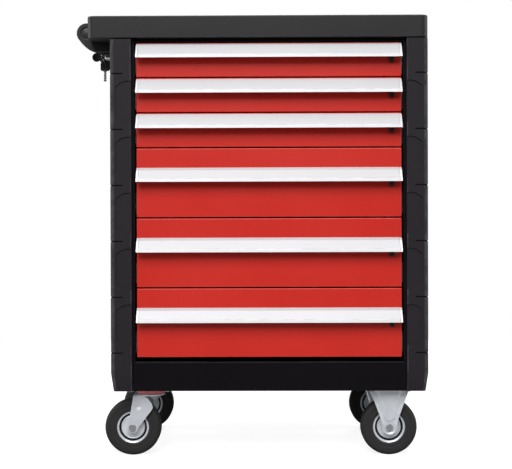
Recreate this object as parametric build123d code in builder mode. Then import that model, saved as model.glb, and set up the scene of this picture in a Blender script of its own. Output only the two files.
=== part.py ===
from build123d import *
import os
from math import cos, radians, sin

# Tool cabinet on casters. The body frame has X to the right, Y to the rear and Z up from the floor,
# with the drawers at the front. All sizes are millimetres.

# Drawers
drawer_width = 582.0          # width of a drawer front
shallow_height = 77.0         # height that one shallow drawer takes in the stack
drawer_shares = (1, 1, 1, 2, 2, 2)  # drawer heights from the top, in shallow heights
drawer_gap = 2.0              # gap between two fronts
drawer_side_gap = 4.0         # gap beside a front
front_sheet = 1.2
front_depth = 16.0            # depth of the folded edge of a front
front_lap = 6.0               # folded lip of a front on the drawer box
box_sheet = 1.0
box_depth = 390.0             # front wall to rear wall of a drawer box
box_floor_gap = 8.0           # stack line to the underside of the drawer box
box_head_gap = 6.0            # top of the drawer box to the next stack line

# Telescopic slides
slide_depth = 12.7            # room beside the drawer box
slide_sheet = 1.2
slide_run_gap = 0.5           # running gap between two slide members
slide_setback = 10.0          # slide length short of the drawer box
slide_low_gap = 2.0           # underside of the drawer box to the slide
slide_lip_gap = 1.0           # free edge of a member to the web of the next one

# Drawer locking
lug_height = 8.0
lug_clear = 3.0               # slide to lug
lug_reach = 8.7               # lug out from the drawer box
lug_length = 6.0
finger_height = 8.0
finger_lift = 2.0             # finger above the lug when unlocked
finger_head_gap = 1.0         # finger to the next stack line
finger_box_gap = 2.7          # finger tip to the drawer box
lug_finger_gap = 2.7          # lug behind the finger
lock_bar_sheet = 2.0
lock_bar_width = 20.0
lock_bar_gap = 0.3            # lock bar to the post
lock_bar_inset = 1.0          # edge of the lock bar inside the post lip
bar_foot = 30.0               # lock bar below its lowest finger

# Drawer handles and catches
handle_depth = 22.0
handle_height = 30.5
handle_wall = 2.2
handle_top_depth = 8.0        # depth where the top bevel ends
handle_top_drop = 5.0         # height of the top bevel
handle_low_depth = 20.0       # depth where the bottom strip starts
handle_low_height = 6.5       # height of the bottom strip
handle_back_height = 16.0     # part of the profile that lies on the front
handle_cap = 5.0              # thickness of an end cap
handle_drop_shallow = 4.0     # front's top edge to the handle on a shallow drawer
handle_drop_deep = 44.0       # the same on a deep drawer
catch_width = 9.0
catch_depth = 9.0
catch_below = 10.0            # catch below the handle's lower edge
catch_rise = 12.0             # catch above the handle's lower edge
catch_inset = 22.0            # end of the front to the middle of the catch
catch_gap = 0.3

# Carcass
panel_sheet = 1.2
post_sheet = 1.5
post_width = 42.3
post_depth = 50.0
post_lip = 25.0
base_sheet = 1.5
base_tuck = 5.0               # body's lower edge to the base's floor
apron_height = 64.0
apron_return = 20.0
sill_gap = 9.0                # apron to the lowest drawer
top_rail_height = 9.0
top_ring_width = 40.0
rear_gap = 22.8               # drawer boxes to the back panel

# Corner bumpers
bumper_thick = 10.0
bumper_front = 47.0           # leg on the front or rear
bumper_side = 62.0            # leg on the side
bumper_corner = 9.0
bumper_edge = 2.5
bumper_head_gap = 2.0
foot_height = 39.0            # tapered stretch at the bottom
foot_taper = 5.5
notch_first = 78.0            # top of the body to the first notch
notch_pitch = 122.5
notch_count = 6
notch_height = 3.0
notch_depth = 2.5
notch_share = 0.6             # part of a leg that a notch crosses
scallop_depth = 1.5
scallop_margin = 15.4         # outer edge to the scallop
scallop_start = 16.0          # notch to the scallop at the leg's free edge
scallop_full = 29.0           # notch to the scallop at its far side
scallop_sag = 3.0

# Worktop and push handle
worktop_height = 48.0
worktop_reach = 49.0          # overhang on the handle side
worktop_lap = 3.0             # beyond the bumpers at the front and rear
worktop_corner = 16.0
worktop_edge = 5.0
worktop_rim = 18.0
recess_depth = 14.0
recess_corner = 12.0
deck_thick = 5.0
deck_hollow_rim = 45.0        # solid edge around the hollow underside
grip_bay_depth = 41.0         # cut in the overhang behind the grip
grip_radius = 12.5
grip_wall = 2.0
grip_out = 11.0               # grip axis beyond the worktop's edge
grip_rise = 22.0              # grip axis above the worktop's underside
ear_thick = 19.0
ear_bumper_gap = 3.0          # ear to the bumper beside it
ear_radius = 22.6
ear_rim = 9.0
ear_recess = 3.0
ear_drop = 15.0               # ear below the worktop's underside
ear_foot_reach = 53.0         # flat lower edge of the ear out from the side panel
ear_low_angle = 225.0         # where the nose of the ear starts, seen from the front
ear_bulge = 3.0
ear_head_drop = 12.0          # ear below its nose at the bay's wall

# Lock and keys
lock_back = 97.0              # front of the posts to the lock axis
lock_drop = 26.0              # underside of the worktop to the lock axis
barrel_radius = 7.0
barrel_out = 34.0             # barrel beyond the side panel
bezel_radius = 11.0
bezel_thick = 3.0
lock_nut_thick = 5.0
lock_hole_gap = 0.2
plug_radius = 5.0
plug_gap = 0.05
plug_out = 1.5                # plug beyond the barrel
cam_sheet = 2.0
cam_gap = 1.5                 # cam to the lock bar
cam_back_gap = 0.5            # cam to the lock cylinder
cam_hub_radius = 7.0
cam_tip_radius = 4.5
cam_pin_radius = 2.5
cam_pin_gap = 0.3
cam_pin_past = 1.5            # cam pin beyond the lock bar
cam_swing_share = 0.25        # slot below the pin, as a share of the cam radius
bar_tab_edge = 6.0            # lock bar around the cam slot
key_neck_radius = 2.5
key_neck_length = 8.5
key_bow_radius = 10.0
key_bow_thick = 3.5
ring_radius = 9.2             # to the middle of the wire
ring_wire = 0.8
ring_gap = 0.3
ring_tilt = 27.0              # lean of the hanging ring from the vertical
spare_width = 21.0
spare_head_height = 22.0
spare_thick = 3.0
spare_hole_radius = 2.5
spare_hole_edge = 5.0
spare_blade_width = 7.0
spare_blade_length = 24.0

# Casters
wheel_diameter = 125.0
tyre_width = 37.0
tyre_shoulder = 9.0
tyre_inner_radius = 36.0
rim_ring = 5.5
rim_width = 30.0
rim_groove = 3.5
rim_web = 8.0
rim_disc_thick = 24.0
hub_radius = 12.0
axle_radius = 6.0
axle_gap = 0.05
axle_hole_gap = 0.1
axle_head_radius = 8.5
axle_head_thick = 4.0
wheel_side_gap = 4.0          # tyre to fork leg
hub_side_gap = 0.5            # hub to fork leg
wheel_gap = 8.0               # wheel to the fork's crown
fork_sheet = 3.0
rigid_end_radius = 16.0
swivel_end_radius = 13.0
crown_sheet = 4.0
crown_radius = 32.0
swivel_trail = 39.0
swivel_leg_width = 29.0
swivel_leg_shift = 22.5       # middle of the leg's top from the swivel axis
swivel_corner_reach = 7.0     # leg's corner past the swivel axis
swivel_corner_rise = 44.5     # leg's corner above the axle
seal_gap = 0.3
seal_height = 11.2
seal_radius = 30.5
seal_hole_radius = 20.0
swivel_head_height = 1.5
swivel_head_radius = 29.0
king_radius = 8.0
king_gap = 0.05
king_nut_radius = 12.0
king_nut_thick = 5.0
plate_sheet = 3.0
plate_length = 105.0
plate_width = 85.0
rigid_leg_width = 89.0
bolt_radius = 4.0
bolt_gap = 0.2
bolt_head_radius = 6.5
bolt_head_thick = 5.3
bolt_spacing_x = 80.0
bolt_spacing_y = 68.0
caster_inset_x = 82.5         # body side to the caster's axis
caster_inset_y = 50.0         # post front to the caster's axis

# Levels
wheel_radius = wheel_diameter / 2
crown_z = wheel_diameter + wheel_gap
seal_z = crown_z + crown_sheet + seal_gap
head_z = seal_z + seal_height
plate_z = head_z + swivel_head_height
floor_z = plate_z + plate_sheet
base_z = floor_z - base_tuck
sill_z = base_z + apron_height
stack_z = sill_z + sill_gap
stack_top_z = stack_z + sum(drawer_shares) * shallow_height
top_z = stack_top_z + top_rail_height
worktop_z = top_z + worktop_height

# Places across the body
front_half = drawer_width / 2
post_x = front_half + drawer_side_gap
lining_x = post_x + post_width
panel_x = lining_x + panel_sheet
body_x = panel_x + bumper_thick
box_x = post_x - slide_depth
body_depth = front_depth + box_depth + rear_gap + panel_sheet
rear_y = body_depth / 2
front_y = -rear_y
bumper_y = rear_y + bumper_thick
box_front_y = front_y + front_depth
box_rear_y = box_front_y + box_depth
worktop_y = bumper_y + worktop_lap
worktop_left = -body_x - worktop_reach
bay_x = worktop_left + grip_bay_depth
bay_half = bumper_y - bumper_side - ear_bumper_gap
grip_x = worktop_left - grip_out
grip_z = top_z + grip_rise
lock_y = front_y + lock_back
lock_z = top_z - lock_drop
caster_x = body_x - caster_inset_x
caster_y = rear_y - caster_inset_y
leg_y = tyre_width / 2 + wheel_side_gap

# Slides and locking, from the room in a shallow drawer
lock_band = lug_clear + lug_height + finger_lift + finger_height + finger_head_gap
slide_height = shallow_height - box_floor_gap - slide_low_gap - lock_band
slide_rise = box_floor_gap + slide_low_gap + slide_height / 2
slide_length = box_depth - slide_setback
slide_y = (box_front_y + slide_setback / 2, box_front_y + slide_setback / 2 + slide_length)
lug_rise = shallow_height - lock_band + lug_clear
finger_rise = lug_rise + lug_height + finger_lift
lock_travel = finger_lift + finger_height
bar_y = (front_y + post_depth + lock_bar_gap, front_y + post_depth + lock_bar_gap + lock_bar_sheet)
bar_x = -(post_x + post_lip) + lock_bar_inset
finger_y = (bar_y[1], bar_y[1] + lock_bar_sheet)

# The part's origin is on the floor, in the middle of the box around the whole cabinet.
left_end = grip_x - ear_radius
front_end = front_y - handle_depth
to_origin = Location((-(left_end + body_x) / 2, -(front_end + worktop_y) / 2, 0))


def save(label, *pieces):
    """Move the solids of finished pieces to the part's frame, name them and write them as one node."""
    node = Compound([solid.moved(to_origin) for piece in pieces for solid in piece.solids()])
    node.label = label
    export_step(node, f"parts/{label}.step")


def slab(x, y, z, mode=Mode.ADD):
    """Add or cut a block between the given low and high X, Y and Z."""
    with Locations(((x[0] + x[1]) / 2, (y[0] + y[1]) / 2, (z[0] + z[1]) / 2)):
        Box(x[1] - x[0], y[1] - y[0], z[1] - z[0], mode=mode)


def rod(center, radius, length, direction, mode=Mode.ADD):
    """Add or cut a round bar that starts at a point and runs along a direction."""
    with Locations(Plane(origin=center, z_dir=direction)):
        Cylinder(radius, length, align=(Align.CENTER, Align.CENTER, Align.MIN), mode=mode)


os.makedirs("parts", exist_ok=True)

# Stack lines from the top drawer to the lowest one
stack_lines = []
line_z = stack_top_z
for share in drawer_shares:
    line_z -= share * shallow_height
    stack_lines.append(line_z)

caster_places = ((-caster_y, "front"), (caster_y, "rear"))

# Base pan: floor sheet with the apron folded up at the front
with BuildPart() as base_pan:
    slab((-lining_x, lining_x), (front_y, rear_y), (floor_z, floor_z + base_sheet))
    slab((-lining_x, lining_x), (front_y, front_y + base_sheet), (base_z, floor_z))
    slab((-lining_x, lining_x), (rear_y - base_sheet, rear_y), (base_z, floor_z))
    slab((-post_x, post_x), (front_y, front_y + base_sheet), (base_z, sill_z))
    slab((-post_x, post_x), (front_y, front_y + apron_return), (sill_z - base_sheet, sill_z))
    for side_x in (-caster_x, caster_x):
        for end_y, _ in caster_places:
            with Locations((side_x, end_y, floor_z)):
                with GridLocations(bolt_spacing_x, bolt_spacing_y, 2, 2):
                    Cylinder(bolt_radius + bolt_gap, 2 * base_sheet, mode=Mode.SUBTRACT)
save("base_pan", base_pan)

# Side panels, the left one with the hole for the lock
with BuildPart() as left_side_panel:
    slab((-panel_x, -lining_x), (front_y, rear_y), (base_z, top_z))
    rod((-panel_x, lock_y, lock_z), barrel_radius + lock_hole_gap, panel_sheet, (1, 0, 0), Mode.SUBTRACT)
save("left_side_panel", left_side_panel)

with BuildPart() as right_side_panel:
    slab((lining_x, panel_x), (front_y, rear_y), (base_z, top_z))
save("right_side_panel", right_side_panel)

# Back panel between the rear posts
with BuildPart() as back_panel:
    slab((-post_x, post_x), (rear_y - panel_sheet, rear_y), (floor_z + base_sheet, stack_top_z))
save("back_panel", back_panel)

# Corner posts: folded channels, open towards the side panel
with BuildPart() as corner_posts:
    post_z = (floor_z + base_sheet, stack_top_z)
    slab((-lining_x, -post_x), (front_y, front_y + post_sheet), post_z)
    slab((-post_x - post_sheet, -post_x), (front_y, front_y + post_depth), post_z)
    slab((-post_x - post_lip, -post_x), (front_y + post_depth - post_sheet, front_y + post_depth), post_z)
    mirror(about=Plane.YZ)
    mirror(about=Plane.XZ)
save("corner_posts", corner_posts)

# Top frame: ring on the posts with a turned-down edge, which shows as the rail above the drawers
with BuildPart() as top_frame:
    slab((-lining_x, lining_x), (front_y, rear_y), (stack_top_z, top_z))
    slab(
        (-lining_x + panel_sheet, lining_x - panel_sheet),
        (front_y + panel_sheet, rear_y - panel_sheet),
        (stack_top_z, top_z - panel_sheet),
        Mode.SUBTRACT,
    )
    slab(
        (-lining_x + top_ring_width, lining_x - top_ring_width),
        (front_y + top_ring_width, rear_y - top_ring_width),
        (stack_top_z, top_z),
        Mode.SUBTRACT,
    )
save("top_frame", top_frame)


# Corner bumpers: moulded angles with notches, scallops and a tapered foot
def scallop_outline(edge, free, high, low):
    """Draw one scallop between two notches, from the leg's free edge towards its outer edge."""
    inward = 1 if free > edge else -1
    far = edge + inward * scallop_margin
    with BuildLine() as outline:
        SagittaArc((free, high - scallop_start), (far, high - scallop_full), -inward * scallop_sag)
        Line((far, high - scallop_full), (far, low + scallop_full))
        SagittaArc((far, low + scallop_full), (free, low + scallop_start), -inward * scallop_sag)
        Line((free, low + scallop_start), (free, high - scallop_start))
    return outline.line


bumper_top_z = top_z - bumper_head_gap
notch_levels = [top_z - notch_first - row * notch_pitch for row in range(notch_count)]
with BuildPart() as corner_bumpers:
    with BuildSketch(Plane.XY.offset(base_z)) as bumper_section:
        with BuildLine():
            Polyline(
                (-body_x, -bumper_y),
                (-body_x + bumper_front, -bumper_y),
                (-body_x + bumper_front, front_y),
                (-panel_x, front_y),
                (-panel_x, -bumper_y + bumper_side),
                (-body_x, -bumper_y + bumper_side),
                close=True,
            )
        make_face()
        fillet(bumper_section.vertices().sort_by_distance((-body_x, -bumper_y, base_z))[0], bumper_corner)
        leg_ends = (
            bumper_section.vertices().sort_by_distance((-body_x + bumper_front, -bumper_y, base_z))[0],
            bumper_section.vertices().sort_by_distance((-body_x, -bumper_y + bumper_side, base_z))[0],
        )
        fillet(leg_ends, bumper_edge)
    extrude(amount=bumper_top_z - base_z)
    with BuildSketch(Plane.XZ) as foot_side:
        with BuildLine():
            Polyline(
                (-body_x, base_z + foot_height),
                (-body_x, base_z),
                (-body_x + foot_taper, base_z),
                close=True,
            )
        make_face()
    extrude(amount=bumper_y, mode=Mode.SUBTRACT)
    with BuildSketch(Plane.YZ) as foot_front:
        with BuildLine():
            Polyline(
                (-bumper_y, base_z + foot_height),
                (-bumper_y, base_z),
                (-bumper_y + foot_taper, base_z),
                close=True,
            )
        make_face()
    extrude(amount=-body_x, mode=Mode.SUBTRACT)
    for notch_z in notch_levels:
        notch_band = (notch_z - notch_height / 2, notch_z + notch_height / 2)
        notch_front = (-body_x, -body_x + notch_share * bumper_front)
        notch_side = (-bumper_y, -bumper_y + notch_share * bumper_side)
        slab(notch_front, (-bumper_y, -bumper_y + notch_depth), notch_band, Mode.SUBTRACT)
        slab((-body_x, -body_x + notch_depth), notch_side, notch_band, Mode.SUBTRACT)
    for high_notch, low_notch in zip(notch_levels, notch_levels[1:]):
        with BuildSketch(Plane.XZ.offset(bumper_y)) as scallop_front:
            add(scallop_outline(-body_x, -body_x + bumper_front, high_notch, low_notch))
            make_face()
        extrude(amount=-scallop_depth, mode=Mode.SUBTRACT)
        with BuildSketch(Plane.YZ.offset(-body_x)) as scallop_side:
            add(scallop_outline(-bumper_y, -bumper_y + bumper_side, high_notch, low_notch))
            make_face()
        extrude(amount=scallop_depth, mode=Mode.SUBTRACT)
    mirror(about=Plane.YZ)
    mirror(about=Plane.XZ)
save("corner_bumpers", corner_bumpers)

# Worktop: rimmed top, hollow underneath, with a bay behind the push handle's grip
with BuildPart() as worktop:
    with BuildSketch(Plane.XY.offset(top_z)) as worktop_plan:
        with Locations(((worktop_left + body_x) / 2, 0)):
            RectangleRounded(body_x - worktop_left, 2 * worktop_y, worktop_corner)
        with Locations((worktop_left, 0)):
            Rectangle(2 * grip_bay_depth, 2 * bay_half, mode=Mode.SUBTRACT)
    extrude(amount=worktop_height)
    fillet(worktop.faces().sort_by(Axis.Z)[-1].edges(), worktop_edge)
    with BuildSketch(Plane.XY.offset(worktop_z)) as worktop_recess:
        with Locations(((bay_x + body_x) / 2, 0)):
            RectangleRounded(body_x - bay_x - 2 * worktop_rim, 2 * (worktop_y - worktop_rim), recess_corner)
    extrude(amount=-recess_depth, mode=Mode.SUBTRACT)
    slab(
        (-body_x + deck_hollow_rim, body_x - deck_hollow_rim),
        (-worktop_y + deck_hollow_rim, worktop_y - deck_hollow_rim),
        (top_z, worktop_z - recess_depth - deck_thick),
        Mode.SUBTRACT,
    )
save("worktop", worktop)

# Push handle: an ear-shaped bracket at each end of the bay, with a raised rim, and the grip between them
with BuildPart() as handle_brackets:
    ear_foot = (-panel_x - ear_foot_reach, top_z - ear_drop)
    nose_low = (
        grip_x + ear_radius * cos(radians(ear_low_angle)),
        grip_z + ear_radius * sin(radians(ear_low_angle)),
    )
    nose_top = (grip_x, grip_z + ear_radius)
    with BuildSketch(Plane.XZ.offset(bay_half)) as ear_outline:
        with BuildLine():
            SagittaArc(ear_foot, nose_low, ear_bulge)
            ThreePointArc(nose_low, (grip_x - ear_radius, grip_z), nose_top)
            Polyline(
                nose_top,
                (bay_x, grip_z + ear_radius - ear_head_drop),
                (bay_x, top_z),
                (-panel_x, top_z),
                (-panel_x, top_z - ear_drop),
                ear_foot,
            )
        make_face()
    extrude(amount=-ear_thick)
    with BuildSketch(Plane.XZ.offset(bay_half)) as ear_pocket:
        with Locations((grip_x, grip_z)):
            Circle(ear_radius - ear_rim)
    extrude(amount=-ear_recess, mode=Mode.SUBTRACT)
    mirror(about=Plane.XZ)
save("handle_brackets", handle_brackets)

with BuildPart() as handle_grip:
    grip_half = bay_half - ear_thick
    rod((grip_x, -grip_half, grip_z), grip_radius, 2 * grip_half, (0, 1, 0))
    rod((grip_x, -grip_half, grip_z), grip_radius - grip_wall, 2 * grip_half, (0, 1, 0), Mode.SUBTRACT)
save("handle_grip", handle_grip)

# Lock: cylinder in the left panel, plug with its cam, inserted key, ring with the spare key
cam_x = (bar_x - cam_gap - cam_sheet, bar_x - cam_gap)
barrel_end_x = -panel_x - barrel_out
plug_end_x = barrel_end_x - plug_out
with BuildPart() as lock_cylinder:
    rod((barrel_end_x, lock_y, lock_z), barrel_radius, cam_x[0] - cam_back_gap - barrel_end_x, (1, 0, 0))
    rod((-panel_x - bezel_thick, lock_y, lock_z), bezel_radius, bezel_thick, (1, 0, 0))
    with BuildSketch(Plane.YZ.offset(-lining_x)) as lock_nut:
        with Locations((lock_y, lock_z)):
            RegularPolygon(bezel_radius, 6)
    extrude(amount=lock_nut_thick)
    rod((barrel_end_x, lock_y, lock_z), plug_radius + plug_gap, -barrel_end_x, (1, 0, 0), Mode.SUBTRACT)
save("lock_cylinder", lock_cylinder)

cam_pin_y = lock_y - lock_travel
with BuildPart() as lock_plug:
    rod((plug_end_x, lock_y, lock_z), plug_radius, cam_x[0] - plug_end_x, (1, 0, 0))
    with BuildSketch(Plane.YZ.offset(cam_x[0])) as cam_plate:
        with Locations((lock_y, lock_z)):
            Circle(cam_hub_radius)
        with Locations((cam_pin_y, lock_z)):
            Circle(cam_tip_radius)
        make_hull()
    extrude(amount=cam_sheet)
    cam_pin_length = cam_gap + lock_bar_sheet + cam_pin_past
    rod((cam_x[1], cam_pin_y, lock_z), cam_pin_radius, cam_pin_length, (1, 0, 0))
save("lock_plug", lock_plug)

bow_x = plug_end_x - key_neck_length - key_bow_radius
with BuildPart() as key:
    rod((plug_end_x, lock_y, lock_z), key_neck_radius, key_neck_length + key_neck_radius, (-1, 0, 0))
    rod((bow_x, lock_y - key_bow_thick / 2, lock_z), key_bow_radius, key_bow_thick, (0, 1, 0))
save("key", key)

# The ring hangs over the key's neck and leans towards the panel; the spare key hangs at its low end.
ring_lean = Vector(sin(radians(ring_tilt)), 0, -cos(radians(ring_tilt)))
ring_top = Vector(
    plug_end_x - key_neck_length + ring_wire + ring_gap,
    lock_y,
    lock_z + key_neck_radius + ring_gap + ring_wire,
)
ring_center = ring_top + ring_lean * ring_radius
ring_low = ring_top + ring_lean * (2 * ring_radius)
with BuildPart() as spare_key:
    with Locations(Plane(origin=ring_center, x_dir=(0, 1, 0), z_dir=ring_lean.cross(Vector(0, 1, 0)))):
        Torus(ring_radius, ring_wire)
    hole_z = ring_low.Z - (spare_hole_radius - ring_wire - ring_gap)
    head_top_z = hole_z + spare_hole_edge
    head_low_z = head_top_z - spare_head_height
    with BuildSketch(Plane.XZ.offset(-lock_y + spare_thick / 2)) as spare_outline:
        with Locations((ring_low.X, (head_top_z + head_low_z) / 2)):
            Rectangle(spare_width, spare_head_height)
        chamfer(spare_outline.vertices().group_by(Axis.Y)[-1], spare_hole_edge)
        with Locations((ring_low.X, head_low_z - spare_blade_length / 2)):
            Rectangle(spare_blade_width, spare_blade_length)
        with Locations((ring_low.X, hole_z)):
            Circle(spare_hole_radius, mode=Mode.SUBTRACT)
    extrude(amount=-spare_thick)
save("spare_key", spare_key)

# Lock bar behind the front post with a slotted tab for the cam, and one finger riveted on it for each drawer
with BuildPart() as lock_bar:
    bar_z = (stack_lines[-1] + finger_rise - bar_foot, stack_lines[0] + finger_rise + finger_height)
    slab((bar_x, bar_x + lock_bar_width), bar_y, bar_z)
    slot_y = (cam_pin_y - cam_pin_radius - cam_pin_gap, lock_y + cam_pin_radius + cam_pin_gap)
    slot_z = (
        lock_z - cam_pin_radius - cam_pin_gap - cam_swing_share * lock_travel,
        lock_z + cam_pin_radius + cam_pin_gap,
    )
    tab_x = (bar_x, bar_x + lock_bar_sheet)
    slab(tab_x, (bar_y[0], slot_y[1] + bar_tab_edge), (slot_z[0] - bar_tab_edge, slot_z[1] + bar_tab_edge))
    slab(tab_x, slot_y, slot_z, Mode.SUBTRACT)

with BuildPart() as lock_fingers:
    finger_x = (bar_x + 2 * lock_bar_sheet, -box_x - finger_box_gap)
    for line_z in stack_lines:
        slab(finger_x, finger_y, (line_z + finger_rise, line_z + finger_rise + finger_height))
save("lock_bar", lock_bar, lock_fingers)


# Telescopic slides: three nested channels on each side of a drawer
def slide_member(web_u, edge_u, half, level):
    """Add a channel to the left slide; u runs from the post to the drawer box."""
    web = (-post_x + web_u, -post_x + web_u + slide_sheet)
    flange = (-post_x + min(web_u, edge_u), -post_x + max(web_u + slide_sheet, edge_u))
    slab(web, slide_y, (level - half, level + half))
    slab(flange, slide_y, (level + half - slide_sheet, level + half))
    slab(flange, slide_y, (level - half, level - half + slide_sheet))


member_step = slide_sheet + slide_run_gap
outer_half = slide_height / 2
middle_half = outer_half - member_step
inner_half = middle_half - member_step
inner_web_u = slide_depth - slide_sheet
inner_edge_u = 2 * member_step
flange_edge_u = inner_web_u - slide_lip_gap

with BuildPart() as slide_outer_rails:
    for line_z in stack_lines:
        slide_member(0, flange_edge_u, outer_half, line_z + slide_rise)
    mirror(about=Plane.YZ)
save("slide_outer_rails", slide_outer_rails)

# Drawers, numbered from the top
for number, (share, line_z) in enumerate(zip(drawer_shares, stack_lines), start=1):
    slide_z = line_z + slide_rise
    next_line_z = line_z + share * shallow_height
    front_z = (line_z + drawer_gap / 2, next_line_z - drawer_gap / 2)
    box_z = (line_z + box_floor_gap, next_line_z - box_head_gap)
    handle_drop = handle_drop_shallow if share == min(drawer_shares) else handle_drop_deep
    handle_top_z = front_z[1] - handle_drop
    handle_low_z = handle_top_z - handle_height

    with BuildPart() as slide_middle:
        slide_member(member_step, flange_edge_u, middle_half, slide_z)
        mirror(about=Plane.YZ)
    save(f"slide_middle_{number}", slide_middle)

    with BuildPart() as inner_rails:
        slide_member(inner_web_u, inner_edge_u, inner_half, slide_z)
        mirror(about=Plane.YZ)

    with BuildPart() as drawer_box:
        slab((-box_x, box_x), (box_front_y, box_rear_y), box_z)
        slab(
            (-box_x + box_sheet, box_x - box_sheet),
            (box_front_y + box_sheet, box_rear_y - box_sheet),
            (box_z[0] + box_sheet, box_z[1]),
            Mode.SUBTRACT,
        )

    with BuildPart() as lock_lug:
        lug_y = (finger_y[1] + lug_finger_gap, finger_y[1] + lug_finger_gap + lug_length)
        slab((-box_x - lug_reach, -box_x), lug_y, (line_z + lug_rise, line_z + lug_rise + lug_height))
    save(f"drawer_box_{number}", drawer_box, inner_rails, lock_lug)

    with BuildPart() as drawer_front:
        slab((-front_half, front_half), (front_y, box_front_y), front_z)
        slab(
            (-front_half + front_sheet, front_half - front_sheet),
            (front_y + front_sheet, box_front_y),
            (front_z[0] + front_sheet, front_z[1] - front_sheet),
            Mode.SUBTRACT,
        )
        lip_y = (box_front_y - front_sheet, box_front_y)
        slab((-front_half, front_half), lip_y, (front_z[0], box_z[0] + front_lap))
        slab((-front_half, front_half), lip_y, (box_z[1] - front_lap, front_z[1]))
    save(f"drawer_front_{number}", drawer_front)

    # Handle profile, seen along X: a hood that is open underneath, closed by a cap at each end
    hood_outer = (
        (front_y, handle_top_z),
        (front_y - handle_top_depth, handle_top_z - handle_top_drop),
        (front_y - handle_low_depth, handle_low_z + handle_low_height),
        (front_y - handle_depth, handle_low_z),
    )
    hood_inner = (
        (front_y - handle_depth + handle_wall, handle_low_z),
        (front_y - handle_low_depth + handle_wall, handle_low_z + handle_low_height - handle_wall / 2),
        (front_y - handle_top_depth + handle_wall / 2, handle_top_z - handle_top_drop - handle_wall),
        (front_y - handle_wall, handle_top_z - 2 * handle_wall),
        (front_y - handle_wall, handle_top_z - handle_back_height),
        (front_y, handle_top_z - handle_back_height),
    )
    with BuildPart() as drawer_handle:
        with BuildSketch(Plane.YZ.offset(-front_half + handle_cap)) as hood_section:
            with BuildLine():
                Polyline(*hood_outer, *hood_inner, close=True)
            make_face()
        extrude(amount=drawer_width - 2 * handle_cap)

    with BuildPart() as handle_caps:
        with BuildSketch(Plane.YZ.offset(-front_half)) as cap_section:
            with BuildLine():
                Polyline(*hood_outer, hood_inner[0], *hood_inner[-2:], close=True)
            make_face()
        extrude(amount=handle_cap)
        mirror(about=Plane.YZ)
    save(f"drawer_handle_{number}", drawer_handle, handle_caps)

    with BuildPart() as drawer_catch:
        catch_middle = front_half - catch_inset
        slab(
            (catch_middle - catch_width / 2, catch_middle + catch_width / 2),
            (front_y - catch_gap - catch_depth, front_y - catch_gap),
            (handle_low_z - catch_below, handle_low_z + catch_rise),
        )
    save(f"drawer_catch_{number}", drawer_catch)


# Casters
def fork_legs(axle_x, end_radius, edge):
    """Make the two legs of a fork at the middle of the depth, from a round end at the axle and an edge over it."""
    with BuildPart() as legs:
        with BuildSketch(Plane.XZ.offset(leg_y)) as leg_outline:
            with BuildLine():
                Polyline(
                    (axle_x - end_radius, wheel_radius),
                    *edge,
                    (axle_x + end_radius, wheel_radius),
                    close=True,
                )
            make_face()
            with Locations((axle_x, wheel_radius)):
                Circle(end_radius)
                Circle(axle_radius + axle_hole_gap, mode=Mode.SUBTRACT)
        extrude(amount=fork_sheet)
        mirror(about=Plane.XZ)
    return legs.part


def axle_bolt(axle_x, end_y):
    """Add an axle bolt with a head outside each leg of a fork."""
    head_y = end_y - leg_y - fork_sheet
    span = 2 * (leg_y + fork_sheet)
    rod((axle_x, head_y, wheel_radius), axle_radius, span, (0, 1, 0))
    rod((axle_x, head_y - axle_head_thick, wheel_radius), axle_head_radius, axle_head_thick, (0, 1, 0))
    rod((axle_x, head_y + span, wheel_radius), axle_head_radius, axle_head_thick, (0, 1, 0))


def caster_plate(plate_x, end_y):
    """Add a caster's top plate with its four bolt holes."""
    with Locations((plate_x, end_y, plate_z + plate_sheet / 2)):
        Box(plate_length, plate_width, plate_sheet)
        with GridLocations(bolt_spacing_x, bolt_spacing_y, 2, 2):
            Cylinder(bolt_radius + bolt_gap, plate_sheet, mode=Mode.SUBTRACT)


rigid_edge = (
    (caster_x - rigid_leg_width / 2, plate_z),
    (caster_x + rigid_leg_width / 2, plate_z),
)
rigid_legs = fork_legs(caster_x, rigid_end_radius, rigid_edge)
with BuildPart() as rigid_forks:
    for end_y, _ in caster_places:
        caster_plate(caster_x, end_y)
        with Locations((0, end_y, 0)):
            add(rigid_legs)
save("rigid_forks", rigid_forks)

with BuildPart() as swivel_plates:
    for end_y, _ in caster_places:
        caster_plate(-caster_x, end_y)
        king_foot_z = crown_z - seal_gap - king_nut_thick
        rod((-caster_x, end_y, head_z), swivel_head_radius, swivel_head_height, (0, 0, 1))
        rod((-caster_x, end_y, king_foot_z), king_radius, head_z - king_foot_z, (0, 0, 1))
        rod((-caster_x, end_y, king_foot_z), king_nut_radius, king_nut_thick, (0, 0, 1))
save("swivel_plates", swivel_plates)

with BuildPart() as swivel_seals:
    for end_y, _ in caster_places:
        rod((-caster_x, end_y, seal_z), seal_radius, seal_height, (0, 0, 1))
        rod((-caster_x, end_y, seal_z), seal_hole_radius, seal_height, (0, 0, 1), Mode.SUBTRACT)
save("swivel_seals", swivel_seals)

# Bolts through the caster plates and the base, and the axle bolts of the rigid forks
with BuildPart() as caster_fasteners:
    for end_y, _ in caster_places:
        for side_x in (-caster_x, caster_x):
            with Locations((side_x, end_y, plate_z)):
                with GridLocations(bolt_spacing_x, bolt_spacing_y, 2, 2):
                    shank = plate_sheet + base_sheet + bolt_head_thick
                    Cylinder(bolt_radius, shank, align=(Align.CENTER, Align.CENTER, Align.MIN))
                    Cylinder(bolt_head_radius, bolt_head_thick, align=(Align.CENTER, Align.CENTER, Align.MAX))
            with Locations((side_x, end_y, floor_z + base_sheet)):
                with GridLocations(bolt_spacing_x, bolt_spacing_y, 2, 2):
                    Cylinder(bolt_head_radius, bolt_head_thick, align=(Align.CENTER, Align.CENTER, Align.MIN))
        axle_bolt(caster_x, end_y)
save("caster_fasteners", caster_fasteners)

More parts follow.
